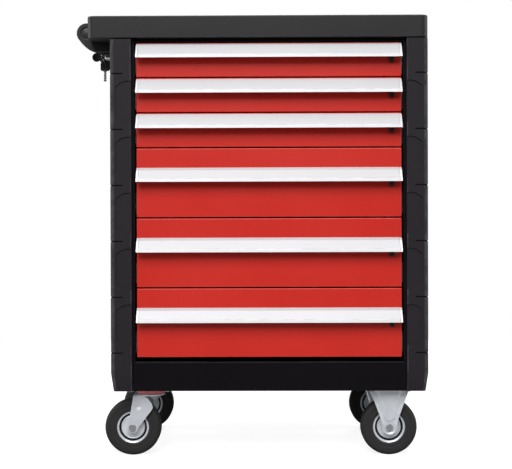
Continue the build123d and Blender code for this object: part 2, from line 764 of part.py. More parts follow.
swivel_axle_x = -caster_x - swivel_trail
leg_middle = -caster_x - swivel_leg_shift
swivel_edge = (
    (leg_middle - swivel_leg_width / 2, crown_z),
    (leg_middle + swivel_leg_width / 2, crown_z),
    (-caster_x + swivel_corner_reach, wheel_radius + swivel_corner_rise),
)
swivel_legs = fork_legs(swivel_axle_x, swivel_end_radius, swivel_edge)
for end_y, end_name in caster_places:
    with BuildPart() as swivel_fork:
        with BuildSketch(Plane.XY.offset(crown_z)) as crown:
            with Locations((-caster_x, end_y)):
                Circle(crown_radius)
            with Locations((leg_middle, end_y)):
                Rectangle(swivel_leg_width, 2 * (leg_y + fork_sheet))
            with Locations((-caster_x, end_y)):
                Circle(king_radius + king_gap, mode=Mode.SUBTRACT)
        extrude(amount=crown_sheet)
        with Locations((0, end_y, 0)):
            add(swivel_legs)

    with BuildPart() as swivel_axle:
        axle_bolt(swivel_axle_x, end_y)
    save(f"swivel_fork_{end_name}", swivel_fork, swivel_axle)

    for axle_x, side_name in ((swivel_axle_x, "left"), (caster_x, "right")):
        wheel_plane = Plane(origin=(axle_x, end_y, wheel_radius), x_dir=(1, 0, 0), z_dir=(0, 0, 1))
        wheel_axis = Axis((axle_x, end_y, wheel_radius), (0, 1, 0))
        with BuildPart() as rim:
            with BuildSketch(wheel_plane) as rim_section:
                ring_inner = tyre_inner_radius - rim_ring
                disc_outer = ring_inner - rim_groove
                for low_r, high_r, width in (
                    (axle_radius + axle_gap, hub_radius, 2 * (leg_y - hub_side_gap)),
                    (axle_radius + axle_gap, disc_outer, rim_disc_thick),
                    (axle_radius + axle_gap, tyre_inner_radius, rim_web),
                    (ring_inner, tyre_inner_radius, rim_width),
                ):
                    with Locations(((low_r + high_r) / 2, 0)):
                        Rectangle(high_r - low_r, width)
            revolve(axis=wheel_axis)
        save(f"rim_{end_name}_{side_name}", rim)

        with BuildPart() as tyre:
            with BuildSketch(wheel_plane) as tyre_section:
                with Locations(((tyre_inner_radius + wheel_radius) / 2, 0)):
                    Rectangle(wheel_radius - tyre_inner_radius, tyre_width)
                fillet(tyre_section.vertices().group_by(Axis.X)[-1], tyre_shoulder)
            revolve(axis=wheel_axis)
        save(f"tyre_{end_name}_{side_name}", tyre)
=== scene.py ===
"""Looks of a roller tool cabinet with six red drawers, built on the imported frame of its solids."""

import logging
import math
from contextlib import contextmanager
from dataclasses import dataclass, field
from enum import Enum
from functools import cache
from itertools import product
from typing import Callable, Iterator, Sequence

import bmesh
import bpy
from mathutils import Matrix, Vector


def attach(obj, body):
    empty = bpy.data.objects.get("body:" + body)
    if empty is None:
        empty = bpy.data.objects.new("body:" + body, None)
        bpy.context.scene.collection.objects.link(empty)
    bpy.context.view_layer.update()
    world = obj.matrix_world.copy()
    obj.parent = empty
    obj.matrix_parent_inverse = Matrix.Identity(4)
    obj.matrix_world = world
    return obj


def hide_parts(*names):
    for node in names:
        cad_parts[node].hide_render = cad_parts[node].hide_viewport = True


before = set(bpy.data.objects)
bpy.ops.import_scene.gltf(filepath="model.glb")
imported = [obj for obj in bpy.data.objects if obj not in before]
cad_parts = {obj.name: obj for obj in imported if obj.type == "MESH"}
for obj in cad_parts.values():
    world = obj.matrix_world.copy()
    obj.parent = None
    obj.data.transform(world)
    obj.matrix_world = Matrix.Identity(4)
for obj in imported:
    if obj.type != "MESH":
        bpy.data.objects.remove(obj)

LOG = logging.getLogger("tool_cabinet")
Piece = bpy.types.Object
Test = Callable[..., bool]
Pair = tuple[float, float]
Triple = tuple[float, float, float]
Quad = tuple[float, float, float, float]
SHIFT = (41.3, 4.5)                     # the body's middle in the shared frame, in millimetres
NEAR = 1e-5                             # places closer than this count as one, in metres
FACING = 0.9                            # a face looks along a direction from this share of its normal on
NOISE = (0.3, 0.7)                      # most of a noise lies between these values


def at(x: float, y: float, z: float) -> Vector:
    """Turn millimetres from the body's middle on the floor into a place in the shared frame."""
    return Vector((x + SHIFT[0], y + SHIFT[1], z)) / 1000.0


def arc(centre: Pair, radius: float, start: float, end: float, steps: int) -> list[Pair]:
    """Give the points of an arc in a plane, both ends included, for angles in degrees."""
    angles = [math.radians(start + (end - start) * step / steps) for step in range(steps + 1)]
    return [(centre[0] + radius * math.cos(a), centre[1] + radius * math.sin(a)) for a in angles]


def round_corner(x: float, y: float, radius: float, turn: float, steps: int) -> list[Pair]:
    """Round a corner of a plan.

    Args:
        x: Place of the sharp corner.
        y: Place of the sharp corner.
        radius: Radius of the rounding.
        turn: Angle at which the arc starts, in degrees.
        steps: Number of steps.

    Returns:
        The points of a quarter of a circle.
    """
    half = math.radians(turn + 45)
    middle = (x - math.copysign(radius, math.cos(half)), y - math.copysign(radius, math.sin(half)))
    return arc(middle, radius, turn, turn + 90, steps)


def swell(share: float) -> float:
    """Give the height of a shallow bow that is nought at both ends and one in the middle."""
    return 1 - (2 * share - 1) ** 2


def both_edges(side: list[Pair]) -> list[Pair]:
    """Mirror the points of a right edge to the left and give the whole outline."""
    return [(-across, level) for across, level in reversed(side)] + side


def both_flanks(side: list[Pair]) -> list[Pair]:
    """Mirror a wheel's section from one flank to the other and close it."""
    return side + [(radius, -reach) for radius, reach in reversed(side)] + side[:1]


class Bench:
    """Modelling moves on one mesh at a time; places are in metres, sizes in millimetres."""

    DOUBLES = 1e-6                  # points closer than this are one, in metres
    WORN_WIDTH = 0.0022             # faces narrower than this can wear, in metres
    WORN_BEND = 0.2                 # and they meet a neighbour at more than this angle, in radians

    @staticmethod
    def only(piece: Piece | None = None) -> None:
        """Go to object mode with nothing selected but one piece.

        Args:
            piece: The piece to select and make active, if any.
        """
        if bpy.context.mode != "OBJECT":
            bpy.ops.object.mode_set(mode="OBJECT")
        bpy.ops.object.select_all(action="DESELECT")
        if piece is not None:
            piece.select_set(True)
            bpy.context.view_layer.objects.active = piece

    @staticmethod
    @contextmanager
    def editing(piece: Piece, action: str = "DESELECT") -> Iterator[None]:
        """Hold a piece in edit mode.

        Args:
            piece: The piece to edit.
            action: DESELECT to start with nothing selected, SELECT with everything.
        """
        Bench.only(piece)
        bpy.ops.object.mode_set(mode="EDIT")
        bpy.ops.mesh.select_all(action=action)
        yield
        bpy.ops.object.mode_set(mode="OBJECT")

    @staticmethod
    def modify(piece: Piece, kind: str, **settings: object) -> None:
        """Apply a modifier.

        Args:
            piece: The piece to change.
            kind: Blender's name of the modifier type.
            **settings: Settings of the modifier.
        """
        Bench.only(piece)
        modifier = piece.modifiers.new(kind.lower(), kind)
        for name, value in settings.items():
            setattr(modifier, name, value)
        bpy.ops.object.modifier_apply(modifier=modifier.name)

    @staticmethod
    def settle(name: str) -> Piece:
        """Name the primitive just added and put its place into its mesh.

        Args:
            name: The piece's name.

        Returns:
            The piece, at the origin.
        """
        piece = bpy.context.object
        piece.name = name
        piece.data.name = name
        bpy.ops.object.transform_apply(location=True, rotation=True, scale=True)
        return piece

    @staticmethod
    def block(name: str, low: Sequence[float], high: Sequence[float]) -> Piece:
        """Add a block between two corners.

        Args:
            name: The piece's name.
            low: Lowest corner in metres.
            high: Highest corner in metres.

        Returns:
            The new piece.
        """
        Bench.only()
        low, high = Vector(low), Vector(high)
        bpy.ops.mesh.primitive_cube_add(size=1.0, location=(low + high) / 2)
        bpy.context.object.scale = high - low
        return Bench.settle(name)

    @staticmethod
    def rod(name: str, start: Sequence[float], direction: Sequence[float], length: float, radius: float,
            sides: int = 32) -> Piece:
        """Add a round or many-sided bar from a point along a direction.

        Args:
            name: The piece's name.
            start: Middle of the bar's first end.
            direction: The way the bar runs.
            length: Length of the bar.
            radius: Radius over its corners.
            sides: Number of sides.

        Returns:
            The new piece.
        """
        Bench.only()
        way, depth = Vector(direction).normalized(), length / 1000.0
        bpy.ops.mesh.primitive_cylinder_add(vertices=sides, radius=radius / 1000.0, depth=depth,
                                            location=Vector(start) + way * depth / 2)
        bpy.context.object.rotation_euler = way.to_track_quat("Z", "Y").to_euler()
        return Bench.settle(name)

    @staticmethod
    def trace(name: str, points: Sequence[Sequence[float]], filled: bool = True) -> Piece:
        """Draw a line point by point from one vertex, and fill it if asked.

        Args:
            name: The piece's name.
            points: The points of the line in order.
            filled: Close the line with a face.

        Returns:
            The new piece.
        """
        Bench.only()
        bpy.ops.mesh.primitive_plane_add(size=0.001, location=points[0])
        piece = Bench.settle(name)
        with Bench.editing(piece):
            bpy.ops.mesh.select_mode(type="VERT")
            bpy.ops.mesh.select_all(action="SELECT")
            bpy.ops.mesh.merge(type="CENTER")
            for before, after in zip(points, points[1:]):
                step = Vector(after) - Vector(before)
                bpy.ops.mesh.extrude_region_move(TRANSFORM_OT_translate={"value": step})
            if filled:
                bpy.ops.mesh.select_all(action="SELECT")
                bpy.ops.mesh.edge_face_add()
        return piece

    @staticmethod
    def prism(name: str, points: Sequence[Sequence[float]], along: Sequence[float]) -> Piece:
        """Draw a filled outline and extrude it.

        Args:
            name: The piece's name.
            points: The outline's points in order.
            along: The way and length of the extrusion.

        Returns:
            The new piece.
        """
        piece = Bench.trace(name, points)
        with Bench.editing(piece, "SELECT"):
            bpy.ops.mesh.extrude_region_move(TRANSFORM_OT_translate={"value": [step / 1000.0 for step in along]})
        return Bench.outward(piece)

    @staticmethod
    def lathe(name: str, profile: Sequence[Pair], centre: Sequence[float],
              axis: Sequence[float], steps: int = 64) -> Piece:
        """Spin a closed or open profile about an axis.

        Args:
            name: The piece's name.
            profile: Pairs of radius and height along the axis.
            centre: The point on the axis where the height is nought.
            axis: Direction of the axis.
            steps: Number of steps round.

        Returns:
            The new piece.
        """
        way = Vector(axis).normalized()
        side = way.orthogonal().normalized()
        points = [Vector(centre) + side * (radius / 1000.0) + way * (height / 1000.0) for radius, height in profile]
        piece = Bench.trace(name, points, filled=False)
        with Bench.editing(piece, "SELECT"):
            bpy.ops.mesh.spin(steps=steps, angle=math.tau, center=Vector(centre), axis=way)
        return Bench.outward(piece)

    @staticmethod
    def sheet(name: str, columns: int, rows: int, place: Callable[[float, float], Sequence[float]],
              thick: float) -> Piece:
        """Form a pressed sheet: a grid whose points are moved into place, thickened and smoothed.

        Args:
            name: The piece's name.
            columns: Number of fields across.
            rows: Number of fields along.
            place: Gives the point for a share across (-1 to 1) and a share along (0 to 1).
            thick: Thickness of the sheet.

        Returns:
            The new piece.
        """
        Bench.only()
        bpy.ops.mesh.primitive_grid_add(x_subdivisions=columns, y_subdivisions=rows, size=2.0)
        piece = Bench.settle(name)
        for vertex in piece.data.vertices:
            vertex.co = place(vertex.co.x, (vertex.co.y + 1) / 2)
        Bench.outward(piece)
        Bench.modify(piece, "SOLIDIFY", thickness=thick / 1000.0, offset=0.0, use_even_offset=True)
        Bench.modify(piece, "SUBSURF", levels=1)
        return piece

    @staticmethod
    def outward(piece: Piece) -> Piece:
        """Merge a mesh's doubles and turn its faces outwards."""
        with Bench.editing(piece, "SELECT"):
            bpy.ops.mesh.remove_doubles(threshold=Bench.DOUBLES)
            bpy.ops.mesh.normals_make_consistent(inside=False)
        return piece

    @staticmethod
    def pick(piece: Piece, kind: str, test: Test) -> None:
        """Select the parts of a mesh in edit mode that pass a test.

        Args:
            piece: The piece in edit mode.
            kind: FACE, EDGE or VERT.
            test: Takes a face's middle and normal, an edge's two ends, or a vertex's place.
        """
        bpy.ops.mesh.select_mode(type=kind)
        bpy.ops.mesh.select_all(action="DESELECT")
        mesh = bmesh.from_edit_mesh(piece.data)
        if kind == "FACE":
            facts = [(face, (face.calc_center_median(), face.normal)) for face in mesh.faces]
        elif kind == "EDGE":
            facts = [(edge, (edge.verts[0].co, edge.verts[1].co)) for edge in mesh.edges]
        else:
            facts = [(vertex, (vertex.co,)) for vertex in mesh.verts]
        for part, known in facts:
            part.select_set(test(*known))
        if kind != "EDGE":
            mesh.select_flush(True)
        bmesh.update_edit_mesh(piece.data)

    @staticmethod
    def nudge(piece: Piece, test: Test, step: Sequence[float]) -> None:
        """Move the vertices that pass a test.

        Args:
            piece: The piece to change.
            test: Takes a vertex's place.
            step: The move in millimetres.
        """
        with Bench.editing(piece):
            Bench.pick(piece, "VERT", test)
            bpy.ops.transform.translate(value=[part / 1000.0 for part in step])

    @staticmethod
    def squeeze(piece: Piece, test: Test, centre: Vector, scale: Sequence[float]) -> None:
        """Scale the vertices that pass a test about a point.

        Args:
            piece: The piece to change.
            test: Takes a vertex's place.
            centre: The point that stays.
            scale: Factors along X, Y and Z.
        """
        with Bench.editing(piece):
            Bench.pick(piece, "VERT", test)
            bpy.ops.transform.resize(value=scale, center_override=centre)

    @staticmethod
    def round_edges(piece: Piece, test: Test, width: float, segments: int) -> None:
        """Bevel chosen edges.

        Args:
            piece: The piece to change.
            test: Takes an edge's two ends.
            width: Width of the bevel.
            segments: Steps across the bevel.
        """
        with Bench.editing(piece):
            Bench.pick(piece, "EDGE", test)
            bpy.ops.mesh.bevel(offset=width / 1000.0, segments=segments, affect="EDGES", clamp_overlap=True)

    @staticmethod
    def press(piece: Piece, test: Test, inset: float, depth: float) -> None:
        """Inset the chosen faces and push them in or out.

        Args:
            piece: The piece to change.
            test: Takes a face's middle and normal.
            inset: Width of the border that stays.
            depth: Move along the normals, inwards below nought.
        """
        with Bench.editing(piece):
            Bench.pick(piece, "FACE", test)
            bpy.ops.mesh.inset(thickness=inset / 1000.0, depth=0.0, use_even_offset=True)
            bpy.ops.mesh.extrude_region_shrink_fatten(TRANSFORM_OT_shrink_fatten={"value": depth / 1000.0})

    @staticmethod
    def cut(piece: Piece, *cutters: Piece) -> Piece:
        """Take cutters out of a piece and throw the cutters away.

        Args:
            piece: The piece to change.
            *cutters: Closed meshes.

        Returns:
            The piece.
        """
        for cutter in cutters:
            Bench.modify(piece, "BOOLEAN", operation="DIFFERENCE", solver="EXACT", object=cutter)
            bpy.data.objects.remove(cutter)
        return piece

    @staticmethod
    def soften(piece: Piece, width: float, segments: int = 2, angle: float = 30.0) -> Piece:
        """Round every sharp edge a little and shade the faces.

        Args:
            piece: The piece to change.
            width: Width of the rounding.
            segments: Steps across it.
            angle: Sharper edges than this are rounded, in degrees.

        Returns:
            The piece.
        """
        Bench.modify(piece, "BEVEL", width=width / 1000.0, segments=segments, limit_method="ANGLE",
                     angle_limit=math.radians(angle), use_clamp_overlap=True, miter_outer="MITER_ARC")
        return Bench.shade(piece)

    @staticmethod
    def shade(piece: Piece, angle: float = 40.0) -> Piece:
        """Shade smooth below an angle and mark the narrow rounded edges for wear.

        Args:
            piece: The piece to shade.
            angle: Sharper edges than this stay sharp, in degrees.

        Returns:
            The piece.
        """
        Bench.only(piece)
        bpy.ops.object.shade_smooth_by_angle(angle=math.radians(angle))
        mesh = bmesh.new()
        mesh.from_mesh(piece.data)
        worn = []
        for face in mesh.faces:
            longest = max(edge.calc_length() for edge in face.edges)
            bends = (edge.calc_face_angle(0.0) for edge in face.edges)
            narrow = face.calc_area() < Bench.WORN_WIDTH * longest
            worn.append(1.0 if narrow and max(bends) > Bench.WORN_BEND else 0.0)
        mesh.free()
        mark = piece.data.attributes.get("worn_edge") or piece.data.attributes.new("worn_edge", "FLOAT", "FACE")
        mark.data.foreach_set("value", worn)
        return piece

    @staticmethod
    def join(name: str, pieces: Sequence[Piece]) -> Piece:
        """Join pieces into one.

        Args:
            name: Name of the joined piece.
            pieces: The pieces, the first of which stays.

        Returns:
            The joined piece.
        """
        Bench.only(pieces[0])
        for piece in pieces:
            piece.select_set(True)
        bpy.ops.object.join()
        pieces[0].name = name
        pieces[0].data.name = name
        return pieces[0]

    @staticmethod
    def copy(piece: Piece, name: str, step: Sequence[float] = (0, 0, 0)) -> Piece:
        """Copy a piece with its own mesh.

        Args:
            piece: The piece to copy.
            name: The copy's name.
            step: How far the copy is moved, in metres.

        Returns:
            The copy.
        """
        twin = piece.copy()
        twin.data = piece.data.copy()
        twin.name = name
        twin.data.name = name
        bpy.context.scene.collection.objects.link(twin)
        twin.data.transform(Matrix.Translation(Vector(step)))
        return twin

    @staticmethod
    def mirror(piece: Piece, name: str, axis: int, place: float = 0.0) -> Piece:
        """Copy a piece to the other side of a plane.

        Args:
            piece: The piece to copy.
            name: The copy's name.
            axis: 0 to mirror along X, 1 along Y.
            place: The plane's place on that axis in millimetres.

        Returns:
            The mirrored copy.
        """
        twin = Bench.copy(piece, name)
        flip = Matrix.Identity(4)
        flip[axis][axis] = -1.0
        flip[axis][3] = 2.0 * at(place, place, 0.0)[axis]
        twin.data.transform(flip)
        twin.data.flip_normals()
        return twin

    @staticmethod
    def corners(piece: Piece) -> list[Piece]:
        """Mirror a piece of the front left corner to the other three and give all four."""
        right = Bench.mirror(piece, piece.name.replace("left", "right"), 0)
        return [piece, right, *(Bench.mirror(one, one.name.replace("front", "rear"), 1) for one in (piece, right))]


class Wiring:
    """Adds nodes to a shader tree and joins them."""

    def __init__(self, tree: bpy.types.NodeTree) -> None:
        """Keep the tree that the nodes go into."""
        self.tree = tree

    def add(self, kind: str, inputs: dict | None = None, **settings: object) -> bpy.types.Node:
        """Add a node.

        Args:
            kind: Blender's name of the node type without its prefix.
            inputs: Values or output sockets for the node's inputs, by name or number.
            **settings: Settings of the node itself.

        Returns:
            The new node.
        """
        node = self.tree.nodes.new(kind if kind.startswith("NodeGroup") else f"ShaderNode{kind}")
        for name, value in settings.items():
            setattr(node, name, value)
        for name, value in (inputs or {}).items():
            if isinstance(value, bpy.types.NodeSocket):
                self.tree.links.new(value, node.inputs[name])
            else:
                node.inputs[name].default_value = value
        return node

    def math(self, operation: str, *values: object) -> bpy.types.NodeSocket:
        """Work out a number from numbers or sockets and give its socket."""
        return self.add("Math", dict(enumerate(values)), operation=operation).outputs[0]

    def band(self, value: bpy.types.NodeSocket, low: float, high: float, first: float = 0.0,
             last: float = 1.0) -> bpy.types.NodeSocket:
        """Spread a value's part between two limits over a new range, held at its ends, and give the socket."""
        node = self.add("MapRange", {"Value": value, "From Min": low, "From Max": high, "To Min": first,
                                     "To Max": last}, clamp=True)
        return node.outputs["Result"]

    def mix(self, share: object, first: object, second: object) -> bpy.types.NodeSocket:
        """Mix a share of the second colour or socket into the first and give the result's socket."""
        return self.add("Mix", {0: share, 6: first, 7: second}, data_type="RGBA", blend_type="MIX").outputs[2]


class Relief(Enum):
    """Kinds of fine surface relief."""

    POWDER = "powder_coat_relief"
    MOULDED = "moulded_grain_relief"
    BRUSHED = "drawn_metal_relief"
    PLATED = "plated_steel_relief"
    RUBBER = "rubber_relief"


class Effects:
    """Shader node groups that several finishes share, each built once."""

    @staticmethod
    def group(name: str, inputs: Sequence[str], outputs: Sequence[str]) -> tuple[Wiring, dict, bpy.types.Node]:
        """Start a node group.

        Args:
            name: Name of the group.
            inputs: Names of its inputs; Vector is a vector, the rest are values.
            outputs: Names of its values that come out.

        Returns:
            The wiring, the input sockets by name and the output node.
        """
        tree = bpy.data.node_groups.new(name, "ShaderNodeTree")
        for label in inputs:
            kind = "NodeSocketVector" if label == "Vector" else "NodeSocketFloat"
            tree.interface.new_socket(name=label, in_out="INPUT", socket_type=kind)
        for label in outputs:
            tree.interface.new_socket(name=label, in_out="OUTPUT", socket_type="NodeSocketFloat")
        wiring = Wiring(tree)
        entry = wiring.add("NodeGroupInput")
        leave = wiring.add("NodeGroupOutput")
        return wiring, {label: entry.outputs[label] for label in inputs}, leave

    @staticmethod
    @cache
    def relief(kind: Relief) -> bpy.types.NodeTree:
        """Relief of a surface: a height, and a mask that varies from place to place.

        Args:
            kind: Which relief.

        Returns:
            The node group, with inputs Vector and Size.
        """
        wiring, entry, leave = Effects.group(kind.value, ("Vector", "Size"), ("Height", "Mask"))
        size = wiring.add("CombineXYZ", {axis: entry["Size"] for axis in "XYZ"}).outputs[0]
        fine = wiring.add("VectorMath", {0: entry["Vector"], 1: size}, operation="DIVIDE").outputs[0]
        if kind is Relief.BRUSHED:
            stretch = wiring.add("VectorMath", {0: fine, 1: (0.02, 1.0, 1.0)}, operation="MULTIPLY").outputs[0]
            lines = wiring.add("TexNoise", {"Vector": stretch, "Scale": 1.0, "Detail": 4.0, "Roughness": 0.7})
            height, mask = lines.outputs[0], wiring.band(lines.outputs[0], 0.35, 0.65)
        elif kind is Relief.MOULDED:
            cells = wiring.add("TexVoronoi", {"Vector": fine, "Scale": 1.0, "Smoothness": 0.6},
                               feature="SMOOTH_F1")
            rough = wiring.add("TexNoise", {"Vector": fine, "Scale": 0.7, "Detail": 3.0})
            height = wiring.math("ADD", cells.outputs["Distance"], rough.outputs[0])
            mask = wiring.band(rough.outputs[0], *NOISE)
        elif kind is Relief.PLATED:
            cells = wiring.add("TexVoronoi", {"Vector": fine, "Scale": 1.0, "Randomness": 1.0}, feature="F1")
            tone = wiring.add("SeparateColor", {0: cells.outputs["Color"]}).outputs[0]
            haze = wiring.add("TexNoise", {"Vector": fine, "Scale": 0.35, "Detail": 5.0})
            height, mask = haze.outputs[0], wiring.math("MULTIPLY", tone, haze.outputs[0])
        else:
            detail = 2.0 if kind is Relief.POWDER else 6.0
            dimples = wiring.add("TexNoise", {"Vector": fine, "Scale": 1.0, "Detail": detail, "Roughness": 0.5})
            height, mask = dimples.outputs[0], wiring.band(dimples.outputs[0], *NOISE)
        wiring.tree.links.new(height, leave.inputs["Height"])
        wiring.tree.links.new(mask, leave.inputs["Mask"])
        return wiring.tree

    @staticmethod
    @cache
    def wear() -> bpy.types.NodeTree:
        """Rubbed edges: the marked narrow edges, broken up, and a few scuffs.

        Returns:
            The node group, with inputs Vector and Amount and output Mask.
        """
        wiring, entry, leave = Effects.group("rubbed_edges", ("Vector", "Amount"), ("Mask",))
        marked = wiring.add("Attribute", attribute_name="worn_edge").outputs["Fac"]
        patches = wiring.add("TexNoise", {"Vector": entry["Vector"], "Scale": 38.0, "Detail": 5.0}).outputs[0]
        edge = wiring.math("MULTIPLY", marked, wiring.band(patches, 0.38, 0.62, 0.25, 1.0))
        streak = wiring.add("VectorMath", {0: entry["Vector"], 1: (26.0, 26.0, 190.0)},
                            operation="MULTIPLY").outputs[0]
        scuff = wiring.band(wiring.add("TexNoise", {"Vector": streak, "Scale": 1.0, "Detail": 3.0}).outputs[0],
                            0.70, 0.80, 0.0, 0.35)
        total = wiring.math("MULTIPLY", wiring.math("MAXIMUM", edge, scuff), entry["Amount"])
        wiring.tree.links.new(total, leave.inputs["Mask"])
        return wiring.tree

    @staticmethod
    @cache
    def dust() -> bpy.types.NodeTree:
        """Dust that settles on faces that look up.

        Returns:
            The node group, with inputs Vector and Amount and output Mask.
        """
        wiring, entry, leave = Effects.group("settled_dust", ("Vector", "Amount"), ("Mask",))
        normal = wiring.add("NewGeometry").outputs["Normal"]
        up = wiring.band(wiring.add("SeparateXYZ", {0: normal}).outputs["Z"], 0.55, 0.95)
        patches = wiring.add("TexNoise", {"Vector": entry["Vector"], "Scale": 9.0, "Detail": 6.0}).outputs[0]
        lying = wiring.math("MULTIPLY", up, wiring.band(patches, 0.35, 0.75))
        wiring.tree.links.new(wiring.math("MULTIPLY", lying, entry["Amount"]), leave.inputs["Mask"])
        return wiring.tree


@dataclass(frozen=True)
class Finish:
    """One finish of the cabinet, with all that its material needs."""

    name: str
    slot: str
    colour: Triple
    relief: Relief
    size: float                     # size of the relief's grain in metres
    depth: float                    # depth of the relief in metres
    roughness: float
    metallic: float = 0.0
    specular: float = 0.3
    tint: float = 0.10              # change of tone from place to place
    wear: float = 0.3
    worn: Triple = (0.10, 0.10, 0.10)
    dust: float = 0.1

    CLOUDS = 0.6                    # share of large clouds in the change of tone, the rest is grain
    SWING = 0.06                    # roughness changes by this from place to place
    DULLING = 0.25                  # dust adds this to the roughness
    DUST = (0.34, 0.32, 0.30, 1.0)

    def material(self) -> bpy.types.Material:
        """Build the finish's material, or give the one that is built."""
        return bpy.data.materials.get(self.name) or self._build()

    def _build(self) -> bpy.types.Material:
        """Build the material from the shared effects.

        Returns:
            The new material.
        """
        material = bpy.data.materials.new(self.name)
        material.use_nodes = True
        wiring = Wiring(material.node_tree)
        shader = material.node_tree.nodes["Principled BSDF"]
        place = wiring.add("TexCoord").outputs["Object"]
        grain = wiring.add("Group", node_tree=Effects.relief(self.relief))
        wear = wiring.add("Group", node_tree=Effects.wear())
        dust = wiring.add("Group", node_tree=Effects.dust())
        for group in (grain, wear, dust):
            wiring.tree.links.new(place, group.inputs["Vector"])
        grain.inputs["Size"].default_value = self.size
        wear.inputs["Amount"].default_value = self.wear
        dust.inputs["Amount"].default_value = self.dust
        cloud = wiring.add("TexNoise", {"Vector": place, "Scale": 5.0, "Detail": 3.0}).outputs[0]
        drift = wiring.math("ADD", wiring.math("MULTIPLY", cloud, self.CLOUDS),
                            wiring.math("MULTIPLY", grain.outputs["Mask"], 1.0 - self.CLOUDS))
        dark = tuple(c * (1.0 - self.tint) for c in self.colour) + (1.0,)
        light = tuple(min(1.0, c * (1.0 + self.tint)) for c in self.colour) + (1.0,)
        tone = wiring.mix(wiring.band(drift, *NOISE), dark, light)
        tone = wiring.mix(wear.outputs["Mask"], tone, self.worn + (1.0,))
        tone = wiring.mix(dust.outputs["Mask"], tone, self.DUST)
        rough = wiring.band(drift, *NOISE, self.roughness - self.SWING, self.roughness + self.SWING)
        rough = wiring.math("ADD", rough, wiring.math("MULTIPLY", dust.outputs["Mask"], self.DULLING))
        bump = wiring.add("Bump", {"Height": grain.outputs["Height"], "Strength": 1.0, "Distance": self.depth})
        for name, socket in (("Base Color", tone), ("Roughness", rough), ("Normal", bump.outputs[0])):
            wiring.tree.links.new(socket, shader.inputs[name])
        shader.inputs["Metallic"].default_value = self.metallic
        shader.inputs["Specular IOR Level"].default_value = self.specular
        return material

    def dress(self, piece: Piece) -> None:
        """Give a piece or a carried-over node this finish alone."""
        piece.data.materials.clear()
        piece.data.materials.append(self.material())


BLACK_STEEL = Finish("black_powder_coat", "carcass_black", (0.0048, 0.0040, 0.0050), Relief.POWDER, 0.0011,
                     0.00006, 0.48, specular=0.06, worn=(0.03, 0.03, 0.032), wear=0.30, dust=0.05)
RED_STEEL = Finish("red_powder_coat", "drawer_red", (0.55, 0.016, 0.0085), Relief.POWDER, 0.0013, 0.00005, 0.40,
                   specular=0.42, tint=0.035, worn=(0.70, 0.10, 0.08), wear=0.35, dust=0.06)
GREY_STEEL = Finish("grey_powder_coat", "drawer_grey", (0.055, 0.056, 0.060), Relief.POWDER, 0.0012, 0.00006, 0.5,
                    worn=(0.16, 0.16, 0.17), wear=0.4, dust=0.10)
BUMPER = Finish("bumper_plastic", "bumper_grey", (0.0150, 0.0118, 0.0162), Relief.MOULDED, 0.0014, 0.00007, 0.56,
                specular=0.20, tint=0.08, worn=(0.085, 0.083, 0.088), wear=0.5, dust=0.05)
WORKTOP = Finish("worktop_plastic", "worktop_black", (0.0125, 0.0118, 0.0132), Relief.MOULDED, 0.0012, 0.00006, 0.46,
                 specular=0.32, tint=0.07, worn=(0.10, 0.10, 0.105), wear=0.35, dust=0.04)
GRIP = Finish("grip_rubber", "grip_black", (0.020, 0.0195, 0.020), Relief.RUBBER, 0.0015, 0.00008, 0.62,
              specular=0.2, worn=(0.05, 0.05, 0.05), dust=0.08)
ALUMINIUM = Finish("satin_aluminium", "handle_aluminium", (0.57, 0.57, 0.585), Relief.BRUSHED, 0.0007, 0.00001, 0.50,
                   metallic=0.15, specular=0.3, tint=0.03, worn=(0.95, 0.95, 0.96), wear=0.5, dust=0.03)
CAP = Finish("silver_end_cap", "handle_aluminium", (0.72, 0.72, 0.735), Relief.MOULDED, 0.0010, 0.00002, 0.42,
             metallic=0.25, specular=0.4, tint=0.04, worn=(0.85, 0.85, 0.86), wear=0.4, dust=0.03)
CATCH = Finish("catch_plastic", "catch_black", (0.012, 0.011, 0.011), Relief.MOULDED, 0.0009, 0.00004, 0.5,
               specular=0.25, worn=(0.06, 0.06, 0.06), dust=0.05)
SLIDE_ZINC = Finish("bright_zinc", "slide_zinc", (0.60, 0.61, 0.63), Relief.PLATED, 0.006, 0.00002, 0.34,
                    metallic=1.0, specular=0.5, tint=0.12, worn=(0.75, 0.75, 0.77), dust=0.05)
CASTER_ZINC = Finish("blue_white_zinc", "caster_zinc", (0.72, 0.755, 0.805), Relief.PLATED, 0.012, 0.000004, 0.35,
                     metallic=0.50, specular=0.5, tint=0.05, worn=(0.92, 0.93, 0.95), wear=0.5, dust=0.05)
BOLT = Finish("bolt_steel", "caster_zinc", (0.40, 0.41, 0.43), Relief.PLATED, 0.003, 0.00001, 0.30,
              metallic=0.75, specular=0.5, tint=0.08, worn=(0.6, 0.6, 0.62), wear=0.4, dust=0.05)
# Painted shade: a near-black finish for the lining set into the rims' grooves, so the gap between disc and ring reads
# as deep shade.
GROOVE_SHADE = Finish("rim_groove_black", "tyre_rubber", (0.0075, 0.0075, 0.0078), Relief.RUBBER, 0.0014, 0.00004, 0.6,
                specular=0.15, worn=(0.02, 0.02, 0.02), wear=0.2, dust=0.02)
CHROME = Finish("lock_nickel", "lock_chrome", (0.70, 0.68, 0.66), Relief.BRUSHED, 0.0006, 0.00001, 0.20,
                metallic=1.0, specular=0.5, tint=0.05, worn=(0.85, 0.83, 0.80), dust=0.03)
KEY_PLASTIC = Finish("key_plastic", "key_black", (0.010, 0.010, 0.0095), Relief.MOULDED, 0.0008, 0.00003, 0.40,
                     specular=0.35, worn=(0.05, 0.05, 0.05), dust=0.04)
SEAL = Finish("seal_plastic", "seal_red", (0.92, 0.26, 0.26), Relief.MOULDED, 0.0010, 0.00003, 0.45,
              specular=0.3, worn=(0.34, 0.10, 0.09), dust=0.08)
TYRE = Finish("tread_rubber", "tyre_rubber", (0.0210, 0.0200, 0.0205), Relief.RUBBER, 0.0018, 0.00010, 0.66,
              specular=0.22, tint=0.14, worn=(0.055, 0.052, 0.050), wear=0.4, dust=0.10)


